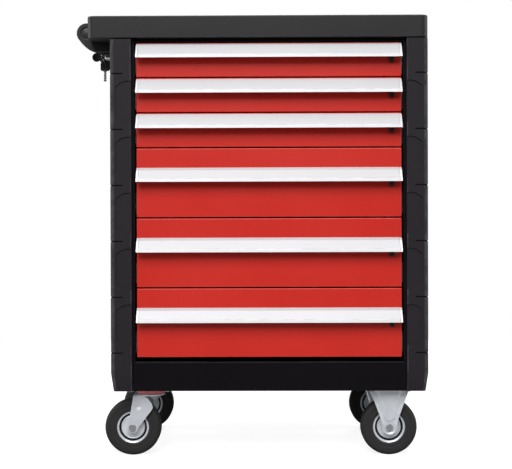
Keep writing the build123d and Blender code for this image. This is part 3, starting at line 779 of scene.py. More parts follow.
def fit(piece: Piece, body: str, finish: Finish, *nodes: str) -> None:
    """Finish a new piece: dress it, let it ride on a body and stand for its nodes.

    Args:
        piece: The new piece.
        body: The body it moves with.
        finish: Its finish.
        *nodes: The nodes that it stands for.
    """
    finish.dress(piece)
    flat = piece.modifiers.new("flat_faces", "WEIGHTED_NORMAL")
    flat.keep_sharp = True
    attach(piece, body)
    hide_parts(*nodes)
    LOG.info("%s rides on %s, %d faces, %s", piece.name, body, len(piece.data.polygons), finish.name)


@dataclass(frozen=True)
class Body:
    """Main levels and planes of the cabinet in millimetres, from the body's middle on the floor."""

    base: float = 148.0             # lower edge of the body
    floor: float = 153.0            # underside of the base's floor
    sill: float = 212.0
    stack_top: float = 914.0
    top: float = 923.0
    front: float = -215.0
    rear: float = 215.0
    post: float = 295.0             # side of the drawer opening
    lining: float = 337.3           # inside of a side panel
    panel: float = 338.5            # outside of a side panel
    side: float = 348.5             # outside of the bumpers
    bumper: float = 225.0           # front of the bumpers
    caster_x: float = 266.0
    caster_y: float = 165.0


BODY = Body()
CARCASS = "carcass"


@dataclass
class Worktop:
    """Moulded top with a rim, a recess and a bay behind the push handle's grip."""

    left: float = -397.5
    right: float = 348.5
    half: float = 228.0
    low: float = BODY.top
    high: float = BODY.top + 48.0
    corner: float = 16.0
    edge: float = 2.5
    rim: float = 18.0
    recess: float = 14.0
    recess_corner: float = 12.0
    bay_x: float = -356.5
    bay_half: float = 160.0
    hollow_rim: float = 45.0
    deck: float = 5.0

    def outline(self) -> list[Vector]:
        """Draw the plan at the underside, round the corners and into the bay.

        Returns:
            The points in order.
        """
        bay = [(self.left, self.bay_half), (self.bay_x, self.bay_half), (self.bay_x, -self.bay_half),
               (self.left, -self.bay_half)]
        plan = [*round_corner(self.right, self.half, self.corner, 0, 8),
                *round_corner(self.left, self.half, self.corner, 90, 8), *bay,
                *round_corner(self.left, -self.half, self.corner, 180, 8),
                *round_corner(self.right, -self.half, self.corner, 270, 8)]
        return [at(x, y, self.low) for x, y in plan]

    def build(self) -> None:
        """Model the top."""
        piece = Bench.prism("worktop_top", self.outline(), (0, 0, self.high - self.low))
        level = self.high / 1000 - NEAR
        Bench.round_edges(piece, lambda a, b: a.z > level and b.z > level, self.edge, 5)
        plan: list[Pair] = []
        first, last, side = self.bay_x + self.rim, self.right - self.rim, self.half - self.rim
        for x, y, turn in ((last, side, 0), (first, side, 90), (first, -side, 180), (last, -side, 270)):
            plan += round_corner(x, y, self.recess_corner, turn, 6)
        floor = self.high - self.recess
        recess = Bench.prism("recess", [at(x, y, floor) for x, y in plan], (0, 0, 50.0))
        hollow = Bench.block("hollow", at(-BODY.side + self.hollow_rim, -self.half + self.hollow_rim, self.low - 9),
                             at(BODY.side - self.hollow_rim, self.half - self.hollow_rim, floor - self.deck))
        Bench.cut(piece, recess, hollow)
        Bench.soften(piece, 1.2, 3)
        fit(piece, CARCASS, WORKTOP, "worktop")


@dataclass
class PushHandle:
    """Two ear-shaped brackets with a round boss, and the grip between them."""

    grip_x: float = -408.5
    grip_z: float = BODY.top + 22.0
    grip_radius: float = 12.5
    ear_out: float = 160.0
    ear_thick: float = 19.0
    nose: float = 22.55
    rim: float = 9.0
    pocket: float = 3.0
    foot: Pair = (-389.0, BODY.top - 20.0)
    bay_x: float = -356.5
    head_drop: float = 12.0
    bulge: float = 4.0              # of the line from the foot to the nose
    rib: Pair = (16.0, 9.0)         # first rib from the grip's end, distance of the ribs

    def outline(self) -> list[Vector]:
        """Draw an ear at its outer face, from the foot round the nose.

        Returns:
            The points in order.
        """
        nose = arc((self.grip_x, self.grip_z), self.nose, 225, 90, 24)
        chord = Vector(nose[0]) - Vector(self.foot)
        bulge = Vector((-chord.y, chord.x)).normalized() * self.bulge
        shares = [step / 9 for step in range(9)]
        line = [tuple(Vector(self.foot) + chord * share + bulge * swell(share)) for share in shares] + nose
        line += [(self.bay_x, self.grip_z + self.nose - self.head_drop), (self.bay_x, BODY.top)]
        line += [(-BODY.panel, BODY.top), (-BODY.panel, self.foot[1])]
        return [at(x, -self.ear_out, z) for x, z in line]

    def build_ears(self) -> None:
        """Model the front ear and its mirrored twin."""
        ear = Bench.prism("handle_ear_front", self.outline(), (0, self.ear_thick, 0))
        face = at(self.grip_x, -self.ear_out, self.grip_z)
        Bench.cut(ear, Bench.rod("pocket", face - Vector((0, 0.01, 0)), (0, 1, 0), 10.0 + self.pocket,
                                 self.nose - self.rim, 48))
        Bench.soften(ear, 1.4, 3)
        inner = self.nose - self.rim
        dome = [(0.0, -0.6), (5.2, -0.8), (7.0, -1.4), (inner - 3, -1.8), (inner - 1.2, -2.6), (inner - 0.8, -3.4),
                (0.0, -3.4)]
        boss = Bench.lathe("boss", dome, face, (0, -1, 0), 48)
        Bench.shade(boss)
        ear = Bench.join("handle_ear_front", [ear, boss])
        twin = Bench.mirror(ear, "handle_ear_rear", 1)
        for piece in (ear, twin):
            fit(piece, CARCASS, WORKTOP, "handle_brackets")

    def build_grip(self) -> None:
        """Turn the grip with its ribs."""
        half = self.ear_out - self.ear_thick
        radius = self.grip_radius
        profile = [(radius - 2, -half), (radius - 0.6, -half), (radius, -half + 0.8), (radius, -half + 14)]
        first, pitch = self.rib
        rib = -half + first
        while rib < half - first:
            profile += [(radius - 0.8, rib), (radius - 0.8, rib + 2.0), (radius, rib + 3.0), (radius, rib + 8.0)]
            rib += pitch
        profile += [(radius, half - 0.8), (radius - 0.6, half), (radius - 2, half), (radius - 2, -half)]
        grip = Bench.lathe("push_grip", profile, at(self.grip_x, 0, self.grip_z), (0, 1, 0), 48)
        fit(Bench.shade(grip), CARCASS, GRIP, "handle_grip")


@dataclass
class Bumpers:
    """Moulded corner columns with notches, shallow scallops and a tapered foot."""

    thick: float = 10.0
    front_leg: float = 47.0
    side_leg: float = 62.0
    corner: float = 9.0
    edge: float = 2.5
    top: float = BODY.top - 2.0
    foot: float = 39.0
    taper: float = 5.5
    gather: float = 30.0            # the foot is drawn in over this width
    first: float = 78.0
    pitch: float = 122.5
    count: int = 6
    notch: Triple = (3.4, 3.2, 1.6)  # height, depth at the front and at the side
    share: float = 0.6              # of a leg's width that a notch takes
    depth: float = 2.2              # of the scallops
    margin: float = 12.8            # from a scallop's tip to the outer edge
    start: float = 16.0             # from a notch to a scallop at the free edge
    full: float = 29.0              # from a notch to a scallop's tip
    sag: float = 4.5                # bow of a scallop's edges
    lean: float = 0.4               # share of the bow that goes sideways

    def column(self) -> Piece:
        """Draw the angle's section and extrude it up through the foot to the top.

        Returns:
            The plain column.
        """
        left, front = -BODY.side, -BODY.bumper
        plan = round_corner(left, front, self.corner, 180, 8)
        plan += round_corner(left + self.front_leg, front, self.edge, 270, 4)
        plan += [(left + self.front_leg, BODY.front), (-BODY.panel, BODY.front)]
        plan += [(-BODY.panel, front + self.side_leg)]
        plan += round_corner(left, front + self.side_leg, self.edge, 90, 4)
        piece = Bench.prism("bumper_front_left", [at(x, y, BODY.base) for x, y in plan], (0, 0, self.foot))
        with Bench.editing(piece):
            waist = (BODY.base + self.foot) / 1000
            Bench.pick(piece, "FACE", lambda middle, normal: middle.z > waist - NEAR and normal.z > FACING)
            bpy.ops.mesh.extrude_region_move(
                TRANSFORM_OT_translate={"value": (0, 0, self.top / 1000 - waist)})
        low = BODY.base / 1000 + NEAR
        inner = at(left + self.thick - 0.1, front + self.thick - 0.1, 0)
        still = at(left + self.gather, front + self.gather, BODY.base)
        share = 1 - self.taper / self.gather

        def outer(co: Vector) -> bool:
            """Tell the foot's outer points from those of its inner angle."""
            return co.z < low and (co.x < inner.x or co.y < inner.y)

        Bench.squeeze(piece, lambda co: outer(co) and co.x < still.x, still, (share, 1, 1))
        Bench.squeeze(piece, lambda co: outer(co) and co.y < still.y, still, (1, share, 1))
        return Bench.outward(piece)

    def scallop(self, edge: float, free: float, high: float, low: float) -> list[Pair]:
        """Draw one scallop between two notches.

        Args:
            edge: Outer edge of the leg.
            free: Free edge of the leg.
            high: Level of the upper notch.
            low: Level of the lower notch.

        Returns:
            Points as pairs of place across the leg and level.
        """
        far, past = edge + self.margin, free + 4.0
        upper = []
        for share in (step / 8 for step in range(9)):
            bow = self.sag * swell(share)
            upper.append((free + (far - free) * share - bow * self.lean,
                          high - self.start - (self.full - self.start) * share + bow))
        lower = [(across, high + low - level) for across, level in reversed(upper)]
        return [(past, high - self.start)] + upper + lower + [(past, low + self.start)]

    def build(self) -> None:
        """Model one column and mirror it to the other corners."""
        piece = self.column()
        left, front, eps = -BODY.side, -BODY.bumper, 3.0    # the cutters start this far outside
        levels = [BODY.top - self.first - row * self.pitch for row in range(self.count)]
        tall, deep, shallow = self.notch
        cutters = []
        for level in levels:
            ends = ((left - eps, left + self.share * self.front_leg, front - eps, front + deep),
                    (left - eps, left + shallow, front - eps, front + self.share * self.side_leg))
            for x0, x1, y0, y1 in ends:
                cutters.append(Bench.block("notch", at(x0, y0, level - tall / 2), at(x1, y1, level + tall / 2)))
        for high, low in zip(levels, levels[1:]):
            face = self.scallop(left, left + self.front_leg, high, low)
            cutters.append(Bench.prism("scallop", [at(x, front - eps, z) for x, z in face],
                                       (0, eps + self.depth, 0)))
            flank = self.scallop(front, front + self.side_leg, high, low)
            cutters.append(Bench.prism("scallop", [at(left - eps, y, z) for y, z in flank],
                                       (eps + self.depth, 0, 0)))
        Bench.cut(piece, *cutters)
        Bench.soften(piece, 0.4, 2, 25)
        for one in Bench.corners(piece):
            fit(one, CARCASS, BUMPER, "corner_bumpers")


@dataclass
class Carcass:
    """Folded posts and the base with its apron; the panels and the top frame keep their solids."""

    sheet: float = 1.5
    post_depth: float = 50.0
    post_lip: float = 25.0
    apron_return: float = 20.0

    def build_posts(self) -> None:
        """Fold one post and mirror it to the other corners."""
        outer, inner, front = -BODY.lining, -BODY.post, BODY.front
        back, lip, sheet = front + self.post_depth, inner - self.post_lip, self.sheet
        plan = [(outer, front), (inner, front), (inner, back), (lip, back), (lip, back - sheet),
                (inner - sheet, back - sheet), (inner - sheet, front + sheet), (outer, front + sheet)]
        low = BODY.floor + sheet
        post = Bench.prism("post_front_left", [at(x, y, low) for x, y in plan], (0, 0, BODY.stack_top - low))
        bends = [at(inner, front, 0), at(inner, back, 0)]
        Bench.round_edges(post, lambda a, b: abs(a.z - b.z) > 0.1 and min((a.xy - p.xy).length for p in bends) < NEAR,
                          0.8, 3)
        Bench.soften(post, 0.3)
        for one in Bench.corners(post):
            fit(one, CARCASS, BLACK_STEEL, "corner_posts")

    def build_base(self) -> None:
        """Fold the base: floor, apron with its return, and the edges that hide the caster plates."""
        sheet, front, rear, deck = self.sheet, BODY.front, BODY.rear, BODY.floor + self.sheet
        wall, back, fold = front + sheet, rear - sheet, front + self.apron_return
        under = [(front, BODY.base), (wall, BODY.base), (wall, BODY.floor), (back, BODY.floor), (back, BODY.base),
                 (rear, BODY.base), (rear, deck)]
        side = [(wall, deck), (wall, BODY.sill - sheet), (fold, BODY.sill - sheet), (fold, BODY.sill),
                (front, BODY.sill)]
        pan = Bench.prism("base_floor_apron", [at(-BODY.post, y, z) for y, z in under + side],
                          (2 * BODY.post, 0, 0))
        bend = at(0, front, BODY.sill)
        Bench.round_edges(pan, lambda a, b: abs(a.x - b.x) > 0.1 and (a.yz - bend.yz).length < NEAR, 2.2, 4)
        wide = (BODY.lining - BODY.post, 0, 0)
        wings = [Bench.prism("wing", [at(x, y, z) for y, z in under + [(front, deck)]], wide)
                 for x in (-BODY.lining, BODY.post)]
        base = Bench.join("base_floor_apron", [pan, *wings])
        fit(Bench.soften(base, 0.3), CARCASS, BLACK_STEEL, "base_pan")


@dataclass
class Drawer:
    """One drawer: folded front, aluminium handle with end caps, catch, tray and its rails."""

    number: int
    low: float                      # stack line under the drawer
    high: float                     # stack line over the drawer
    handle_low: float
    crest: float                    # top of the handle above its lower edge
    half: float = 291.0
    depth: float = 16.0
    gap: float = 1.4                # from the front to a stack line
    sheet: float = 1.2              # of the front and the rails
    box_half: float = 282.3
    box_rear: float = 191.0
    floor_gap: float = 8.0
    head_gap: float = 6.0
    cap: float = 5.0
    seam: float = 0.35
    catch_x: float = 269.0
    catch_out: float = 9.3          # face of the catch in front of the drawer
    catch: Quad = (4.5, 9.0, 10.0, 12.0)  # half width, depth, reach down and up
    groove: Quad = (-3.2, 2.4, 1.0, 1.4)  # first place, pitch, width, depth
    hem: Pair = (2.2, 9.0)          # width and height of the tray's hem
    tray: Pair = (1.2, 1.0)         # sheet of the tray's walls and floor
    rail: Triple = (9.3, 3.4, 5.0)  # reach, play in the slide, distance from the tray's ends
    lug_y: Pair = (-158.0, -152.0)
    lug_out: float = 8.7
    slide: Pair = (32.5, 45.0)      # middle of the slide above the stack line, its height
    lug: Pair = (58.0, 8.0)         # lug above the stack line, its height

    @property
    def body(self) -> str:
        """Name of the drawer's body."""
        return f"drawer_{self.number}"

    @property
    def rear(self) -> float:
        """Rear of the front, where the tray starts."""
        return BODY.front + self.depth

    def build_front(self) -> None:
        """Fold the front: a shallow pan with rounded edges and lips at its rear."""
        name = f"front_{self.number}"
        front = Bench.block(name, at(-self.half, BODY.front, self.low + self.gap),
                            at(self.half, self.rear, self.high - self.gap))
        Bench.press(front, lambda middle, normal: normal.y > FACING, 13.0, -(self.depth - self.sheet))
        face = at(0, BODY.front, 0).y + NEAR
        Bench.round_edges(front, lambda a, b: a.y < face and b.y < face, 2.0, 4)
        Bench.soften(front, 0.5)
        fit(front, self.body, RED_STEEL, f"drawer_front_{self.number}")

    def hood(self) -> list[Pair]:
        """Draw the handle's section: pairs of reach from the front and height above its lower edge."""
        return [(0, self.crest), (8, 25.5), (19.45, 7.35), (19.05, 6.85), (20.05, 6.3), (22, 0), (19.8, 0), (17.8, 5.4),
                (6.9, 23.3), (2.2, 26.1), (2.2, 14.5), (0, 14.5)]

    def build_handle(self) -> None:
        """Extrude the handle and model a cap for each of its ends."""
        node = f"drawer_handle_{self.number}"
        end = self.half - self.cap - self.seam
        section = [at(-end, BODY.front - out, self.handle_low + up) for out, up in self.hood()]
        bar = Bench.prism(f"handle_{self.number}", section, (2 * end, 0, 0))
        Bench.soften(bar, 0.4, 2, 18)
        closed = [(0, self.crest), (8, 25.5), (20, 6.5), (22, 0), (19.8, 0), (2.2, 14.5), (0, 14.5)]
        plate = [at(-self.half, BODY.front - out, self.handle_low + up) for out, up in closed]
        left = Bench.prism(f"handle_cap_left_{self.number}", plate, (self.cap, 0, 0))
        Bench.soften(left, 0.9, 3, 18)
        right = Bench.mirror(left, f"handle_cap_right_{self.number}", 0)
        for piece, finish in ((left, CAP), (right, CAP), (bar, ALUMINIUM)):
            fit(piece, self.body, finish, node)

    def build_catch(self) -> None:
        """Model the catch: a thumb piece with ridges under the handle."""
        x, y, low = self.catch_x, BODY.front - self.catch_out, self.handle_low
        half, thick, down, up = self.catch
        catch = Bench.block(f"catch_{self.number}", at(x - half, y, low - down), at(x + half, y + thick, low + up))
        toe = at(0, y + 1, low - down + 0.1)
        Bench.nudge(catch, lambda co: co.z < toe.z and co.y < toe.y, (0, 2.5, 0))
        first, pitch, wide, deep = self.groove
        for step in range(3):
            edge = x + first + pitch * step
            Bench.cut(catch, Bench.block("groove", at(edge, y - 2, low - 7), at(edge + wide, y + deep, low + 4)))
        Bench.soften(catch, 0.7)
        fit(catch, f"catch_{self.number}", CATCH, f"drawer_catch_{self.number}")

    def build_tray(self) -> None:
        """Fold the tray with its hemmed top edge, and add its lug and inner rails."""
        node = f"drawer_box_{self.number}"
        low, high = self.low + self.floor_gap, self.high - self.head_gap
        (hem, deep), (wall, floor) = self.hem, self.tray
        tray = Bench.block(f"tray_{self.number}", at(-self.box_half, self.rear, low),
                           at(self.box_half, self.box_rear, high))
        Bench.press(tray, lambda middle, normal: normal.z > FACING, hem, -deep)
        under = at(0, 0, high - deep).z
        Bench.press(tray, lambda middle, normal: normal.z > FACING and abs(middle.z - under) < 10 * NEAR,
                    wall - hem, -(high - low - deep - floor))
        Bench.soften(tray, 0.6)
        rise, tall = self.lug
        lug = Bench.block("lug", at(-self.box_half - self.lug_out, self.lug_y[0], self.low + rise),
                          at(-self.box_half, self.lug_y[1], self.low + rise + tall))
        Bench.soften(lug, 0.8)
        tray = Bench.join(f"tray_{self.number}", [tray, lug])
        fit(tray, self.body, GREY_STEEL, node)
        self.build_rails(node)

    def build_rails(self, node: str) -> None:
        """Roll the inner rails on both sides of the tray as one piece.

        Args:
            node: The node that the rails belong to.
        """
        reach, play, short = self.rail
        middle, tall = self.low + self.slide[0], self.slide[1] / 2 - play
        wall, out, web = -self.box_half, -self.box_half - reach, -self.box_half - self.sheet
        half = [(wall, tall), (out, tall), (out, tall - self.sheet), (web, tall - self.sheet)]
        channel = [(wall, -tall), *half, *((x, -z) for x, z in reversed(half[1:]))]
        start = self.rear + short
        left = Bench.prism(f"rails_{self.number}", [at(x, start, middle + z) for x, z in channel],
                           (0, self.box_rear - short - start, 0))
        Bench.soften(left, 0.4)
        right = Bench.mirror(left, "right_rail", 0)
        fit(Bench.join(f"rails_{self.number}", [left, right]), self.body, SLIDE_ZINC, node)

    def build(self) -> None:
        """Model the whole drawer."""
        self.build_front()
        self.build_handle()
        self.build_catch()
        self.build_tray()


SHALLOW = (77.0, 35.5, 32.4)            # height, handle's lower edge from the top, handle's crest above it
DEEP = (154.0, 75.5, 31.8)


@dataclass
class Lock:
    """Cylinder lock in the left panel with its key, a ring and the spare key."""

    y: float = -118.0
    z: float = BODY.top - 26.0
    barrel: float = 7.0
    barrel_end: float = -372.5
    inner_end: float = -323.0
    bezel: float = 11.0
    plug_bore: float = 5.05
    plug_end: float = -374.0
    neck: Pair = (2.5, 8.5)
    bow: float = 10.0
    bow_thick: float = 3.5
    ring: float = 9.2
    wire: float = 0.8
    slack: float = 0.3              # play of the ring
    hole: float = 2.5               # radius of the spare key's hole
    tilt: float = 27.0
    head: Pair = (21.0, 22.0)
    blade: Pair = (7.0, 24.0)
    thick: float = 3.0

    def build_cylinder(self) -> None:
        """Turn the cylinder with its bezel, and add the nut inside the panel."""
        end, panel, barrel, bezel, bore = self.barrel_end, -BODY.panel, self.barrel, self.bezel, self.plug_bore
        profile = [(bore, 0.0), (6.3, 0.0), (barrel, 0.7), (barrel, panel - 3.0 - end), (10.2, panel - 3.0 - end),
                   (bezel, panel - 2.2 - end), (bezel, panel - end), (barrel, panel - end),
                   (barrel, self.inner_end - end), (bore, self.inner_end - end), (bore, 0.0)]
        shell = Bench.lathe("lock_barrel", profile, at(end, self.y, self.z), (1, 0, 0), 48)
        nut = Bench.rod("nut", at(-BODY.lining, self.y, self.z), (1, 0, 0), 5.0, bezel, 6)
        Bench.cut(nut, Bench.rod("bore", at(-BODY.lining - 5, self.y, self.z), (1, 0, 0), 20.0, barrel + 0.05, 32))
        Bench.soften(nut, 0.6)
        Bench.shade(shell)
        fit(Bench.join("lock_barrel", [shell, nut]), CARCASS, CHROME, "lock_cylinder")

    def build_key(self) -> None:
        """Model the key's neck, collar and round bow."""
        radius, length = self.neck
        centre = at(self.plug_end - length - self.bow, self.y, self.z)
        flat = self.bow_thick / 2
        disc = [(0.0, -flat + 0.5), (6.5, -flat + 0.5), (7.2, -flat), (9.2, -flat), (self.bow, -flat + 0.8)]
        disc += [(r, -reach) for r, reach in reversed(disc)]
        bow = Bench.lathe("key_bow", disc, centre, (0, 1, 0), 48)
        stem = [(0.0, 0.0), (radius - 0.4, 0.0), (radius, 0.5), (radius, length - 2.0), (radius + 0.4, length - 1.4),
                (radius + 0.4, length + 1.5), (0.0, length + 1.5)]
        neck = Bench.lathe("neck", stem, at(self.plug_end, self.y, self.z), (-1, 0, 0), 24)
        for piece in (bow, neck):
            Bench.shade(piece)
        fit(Bench.join("key_in_lock", [bow, neck]), "key", KEY_PLASTIC, "key")

    def coil(self, centre: Vector, axis: Vector) -> Piece:
        """Wind the split ring: two flat coils side by side, each with its end cut.

        Args:
            centre: Middle of the ring.
            axis: Direction of its axis.

        Returns:
            The ring, not yet dressed.
        """
        wire, groove = self.wire, 0.12
        half = [(wire - 0.15, -wire), (wire, -wire + 0.15), (wire, -groove), (wire - 0.2, 0.0), (wire, groove),
                (wire, wire - 0.15), (wire - 0.15, wire)]
        loop = half + [(-across, -along) for across, along in half] + [half[0]]
        ring = Bench.lathe("key_ring", [(self.ring + across, along) for across, along in loop], centre, axis, 72)
        side = axis.orthogonal().normalized()
        for turn in (-1, 1):
            way = (Matrix.Rotation(math.radians(8.0 * turn), 3, axis) @ side).normalized()
            start = centre + axis.normalized() * turn * wire * 0.0006 + way * (self.ring - 2.0) / 1000
            Bench.cut(ring, Bench.rod("coil_end", start, way, 4.0, wire * 0.55, 4))
        return Bench.shade(ring)

    def build_ring(self) -> None:
        """Bend the ring over the key's neck and hang the spare key on it."""
        lean = Vector((math.sin(math.radians(self.tilt)), 0.0, -math.cos(math.radians(self.tilt))))
        slack, hole = self.slack, self.hole
        top = Vector((self.plug_end - self.neck[1] + self.wire + slack, self.y,
                      self.z + self.neck[0] + slack + self.wire))
        low = top + lean * (2 * self.ring)
        ring = self.coil(at(*(top + lean * self.ring)), lean.cross(Vector((0, 1, 0))))
        hole_z = low.z - (hole - self.wire - slack)
        head_top, (wide, tall) = hole_z + 5.0, self.head
        head_low, half = head_top - tall, wide / 2
        side = [(half - 5, head_top), (half, head_top - 5), (half, head_low + 3), (half - 3, head_low)]
        plan = [at(low.x + x, self.y - self.thick / 2, z) for x, z in both_edges(side)]
        head = Bench.prism("spare_key_head", plan, (0, self.thick, 0))
        Bench.cut(head, Bench.rod("hole", at(low.x, self.y - 9, hole_z), (0, 1, 0), 20.0, hole, 24))
        Bench.soften(head, 0.5)
        blade = self.bit(low.x, head_low)
        for piece, finish in ((ring, CHROME), (head, KEY_PLASTIC), (blade, CHROME)):
            fit(piece, "spare_key", finish, "spare_key")

    def bit(self, x: float, head_low: float) -> Piece:
        """Cut the spare key's blade with its notches on both edges.

        Args:
            x: Middle of the blade.
            head_low: Lower edge of the key's head.

        Returns:
            The blade, not yet dressed.
        """
        half, length = self.blade[0] / 2, self.blade[1]
        side = [(half, head_low + 1.0), (half, head_low - 2.0)]
        notch = head_low - 3.0
        while notch > head_low - length + 5.0:
            side += [(half - 1.4, notch), (half - 1.4, notch - 1.6), (half, notch - 2.6), (half, notch - 4.0)]
            notch -= 5.0
        side += [(half - 1.6, head_low - length)]
        thick = self.thick * 0.7
        plan = [at(x + across, self.y - thick / 2, z) for across, z in both_edges(side)]
        blade = Bench.prism("spare_key_blade", plan, (0, thick, 0))
        return Bench.soften(blade, 0.4)


@dataclass
class Wheel:
    """One wheel: pressed rim with a dished disc, and a rubber tyre."""

    end: str
    side: str
    x: float
    y: float
    radius: float = 62.5
    bore: float = 6.05
    hub: Pair = (12.0, 22.0)
    disc: Pair = (26.6, 12.0)
    web: float = 4.0
    ring: Triple = (31.0, 36.0, 15.0)
    sunk: float = 2.6               # painted-shade lining of the groove lies this far behind the disc's face
    tyre: float = 18.5
    shoulder: float = 9.0
    play: float = 0.05              # keeps linings off the rim and treads off the floor

    def flank(self) -> list[Pair]:
        """Draw one side of the rim from the bore to the tyre seat.

        Returns:
            Pairs of radius and reach from the wheel's middle.
        """
        (hub, out), (disc, face), (low, high, rim) = self.hub, self.disc, self.ring
        middle = (low + high) / 2
        return [(self.bore, out), (hub - 1.2, out), (hub - 0.3, out - 0.6), (hub, out - 1.4), (hub, face - 0.6),
                (hub + 0.8, face - 1.2), (disc - 4.4, face - 0.9), (disc - 3.7, face - 1.3), (disc - 3.0, face - 0.5),
                (disc - 2.0, face), (disc - 0.8, face - 0.3), (disc, face - 1.4), (disc, self.web), (low, self.web),
                (low, rim - 1.6), (low + 0.7, rim - 0.4), (low + 1.8, rim), (middle - 0.7, rim - 0.2),
                (middle, rim - 0.9), (middle + 0.7, rim - 0.2), (high - 1.2, rim), (high - 0.3, rim - 0.4),
                (high, rim - 1.4)]

    def build(self) -> None:
        """Turn the rim, a dark lining in its grooves that is painted shade, and the tyre."""
        name, body = f"{self.end}_{self.side}", f"wheel_{self.end}_{self.side}"
        middle = at(self.x, self.y, self.radius)
        rim = Bench.lathe(f"rim_disc_{name}", both_flanks(self.flank()), middle, (0, 1, 0), 72)
        fit(Bench.shade(rim), body, CASTER_ZINC, f"rim_{name}")
        # The grooves' near-black lining is painted shade: it darkens the gap between the disc and the ring as deep
        # shade would.
        low, high, bed = self.disc[0] + self.play, self.ring[0] - self.play, self.disc[1] - self.sunk
        section = [(low, self.web), (low, bed), (low + 0.8, bed - 0.5), (high - 0.8, bed - 0.5), (high, bed),
                   (high, self.web), (low, self.web)]
        linings = [Bench.lathe("lining", section, middle, (0, way, 0), 72) for way in (-1, 1)]
        lining = Bench.shade(Bench.join(f"rim_groove_{name}", linings))
        fit(lining, body, GROOVE_SHADE, f"rim_{name}")
        seat, wall, tread, edge = self.ring[1], self.tyre, self.radius - self.play, self.shoulder
        side = [(seat, wall - 1.6), (seat + 0.8, wall - 0.4), (seat + 1.8, wall), (seat + 8.0, wall),
                (seat + 8.6, wall - 0.6), (seat + 9.4, wall - 0.6), (seat + 10.0, wall)]
        side += arc((tread - edge, wall - edge), edge, 90, 0, 8)
        tyre = Bench.lathe(f"tyre_tread_{name}", both_flanks(side), middle, (0, 1, 0), 96)
        fit(Bench.shade(tyre), body, TYRE, f"tyre_{name}")


@dataclass
class Leg:
    """A pressed fork leg that narrows to a round end at the axle, with lips, a raised panel or a dent."""

    axle: float
    flanks: tuple[Triple, ...]      # level, low and high edge from the axle
    end: float
    lip: Pair = (5.0, 2.6)          # width of the lips, how far they stand out
    panel: Pair = (0.60, 3.0)       # share of the width that is raised, how far it stands out
    panel_low: float = 13.0         # lower end of the panel above the axle
    dent: Quad = (0.0, 0.0, 0.0, 1.0)  # place from the axle, level, depth, reach
    axle_z: float = 62.5
    near: float = 22.5              # inside of the leg from the wheel's middle
    sheet: float = 3.0
    slope: float = 2.5              # width of the slopes of lips and panel

    def span(self, level: float) -> Pair:
        """Find the leg's two edges at a level.

        Args:
            level: Height in millimetres.

        Returns:
            Low and high X of the leg.
        """
        if level <= self.axle_z:
            half = math.sqrt(max(0.0, self.end ** 2 - (level - self.axle_z) ** 2))
            return self.axle - half, self.axle + half
        rows = ((self.axle_z, -self.end, self.end), *self.flanks)
        for (low, *first), (high, *last) in zip(rows, rows[1:]):
            if level <= high:
                share = (level - low) / (high - low)
                break
        else:
            share = 1.0
        edges = [self.axle + a + (b - a) * share for a, b in zip(first, last)]
        return edges[0], edges[1]

    def relief(self, offset: float, half: float, level: float) -> float:
        """Find how far the pressing stands out at a point.

        Args:
            offset: Distance from the leg's middle line.
            half: Half the leg's width at the point's level.
            level: Height of the point.

        Returns:
            Millimetres in front of the plain sheet.
        """
        inward = half - abs(offset)
        if level < self.axle_z:
            inward = self.end - math.hypot(offset, level - self.axle_z)
        lip = min(1.0, max(0.0, (self.lip[0] - inward) / self.slope)) * self.lip[1]
        wide = self.panel[0] * half
        turn = self.axle_z + self.panel_low + wide
        past = wide - (math.hypot(offset, turn - level) if level < turn else abs(offset))
        return max(lip, min(1.0, max(0.0, past / self.slope)) * self.panel[1])

    def build(self, name: str, y: float) -> Piece:
        """Press the front leg out of a grid.

        Args:
            name: The leg's name.
            y: Middle of the wheel.

        Returns:
            The leg, not yet dressed.
        """
        low, top = self.axle_z - self.end + 0.3, self.flanks[-1][0]
        across_dent, level_dent, depth, reach = self.dent

        def place(across: float, along: float) -> Vector:
            """Give a point of the pressed leg for its share across and along."""
            level = low + (top - low) * along ** 1.25
            first, last = self.span(level)
            half = (last - first) / 2
            offset = half * (0.5 * across + 0.5 * math.sin(across * math.pi / 2))
            x = (first + last) / 2 + offset
            far = math.hypot(x - self.axle - across_dent, level - level_dent) / reach
            out = self.near + self.sheet / 2 + self.relief(offset, half, level) - depth * math.exp(-far * far)
            return at(x, y - out, level)

        return Bench.sheet(name, 40, 36, place, self.sheet - 0.4)


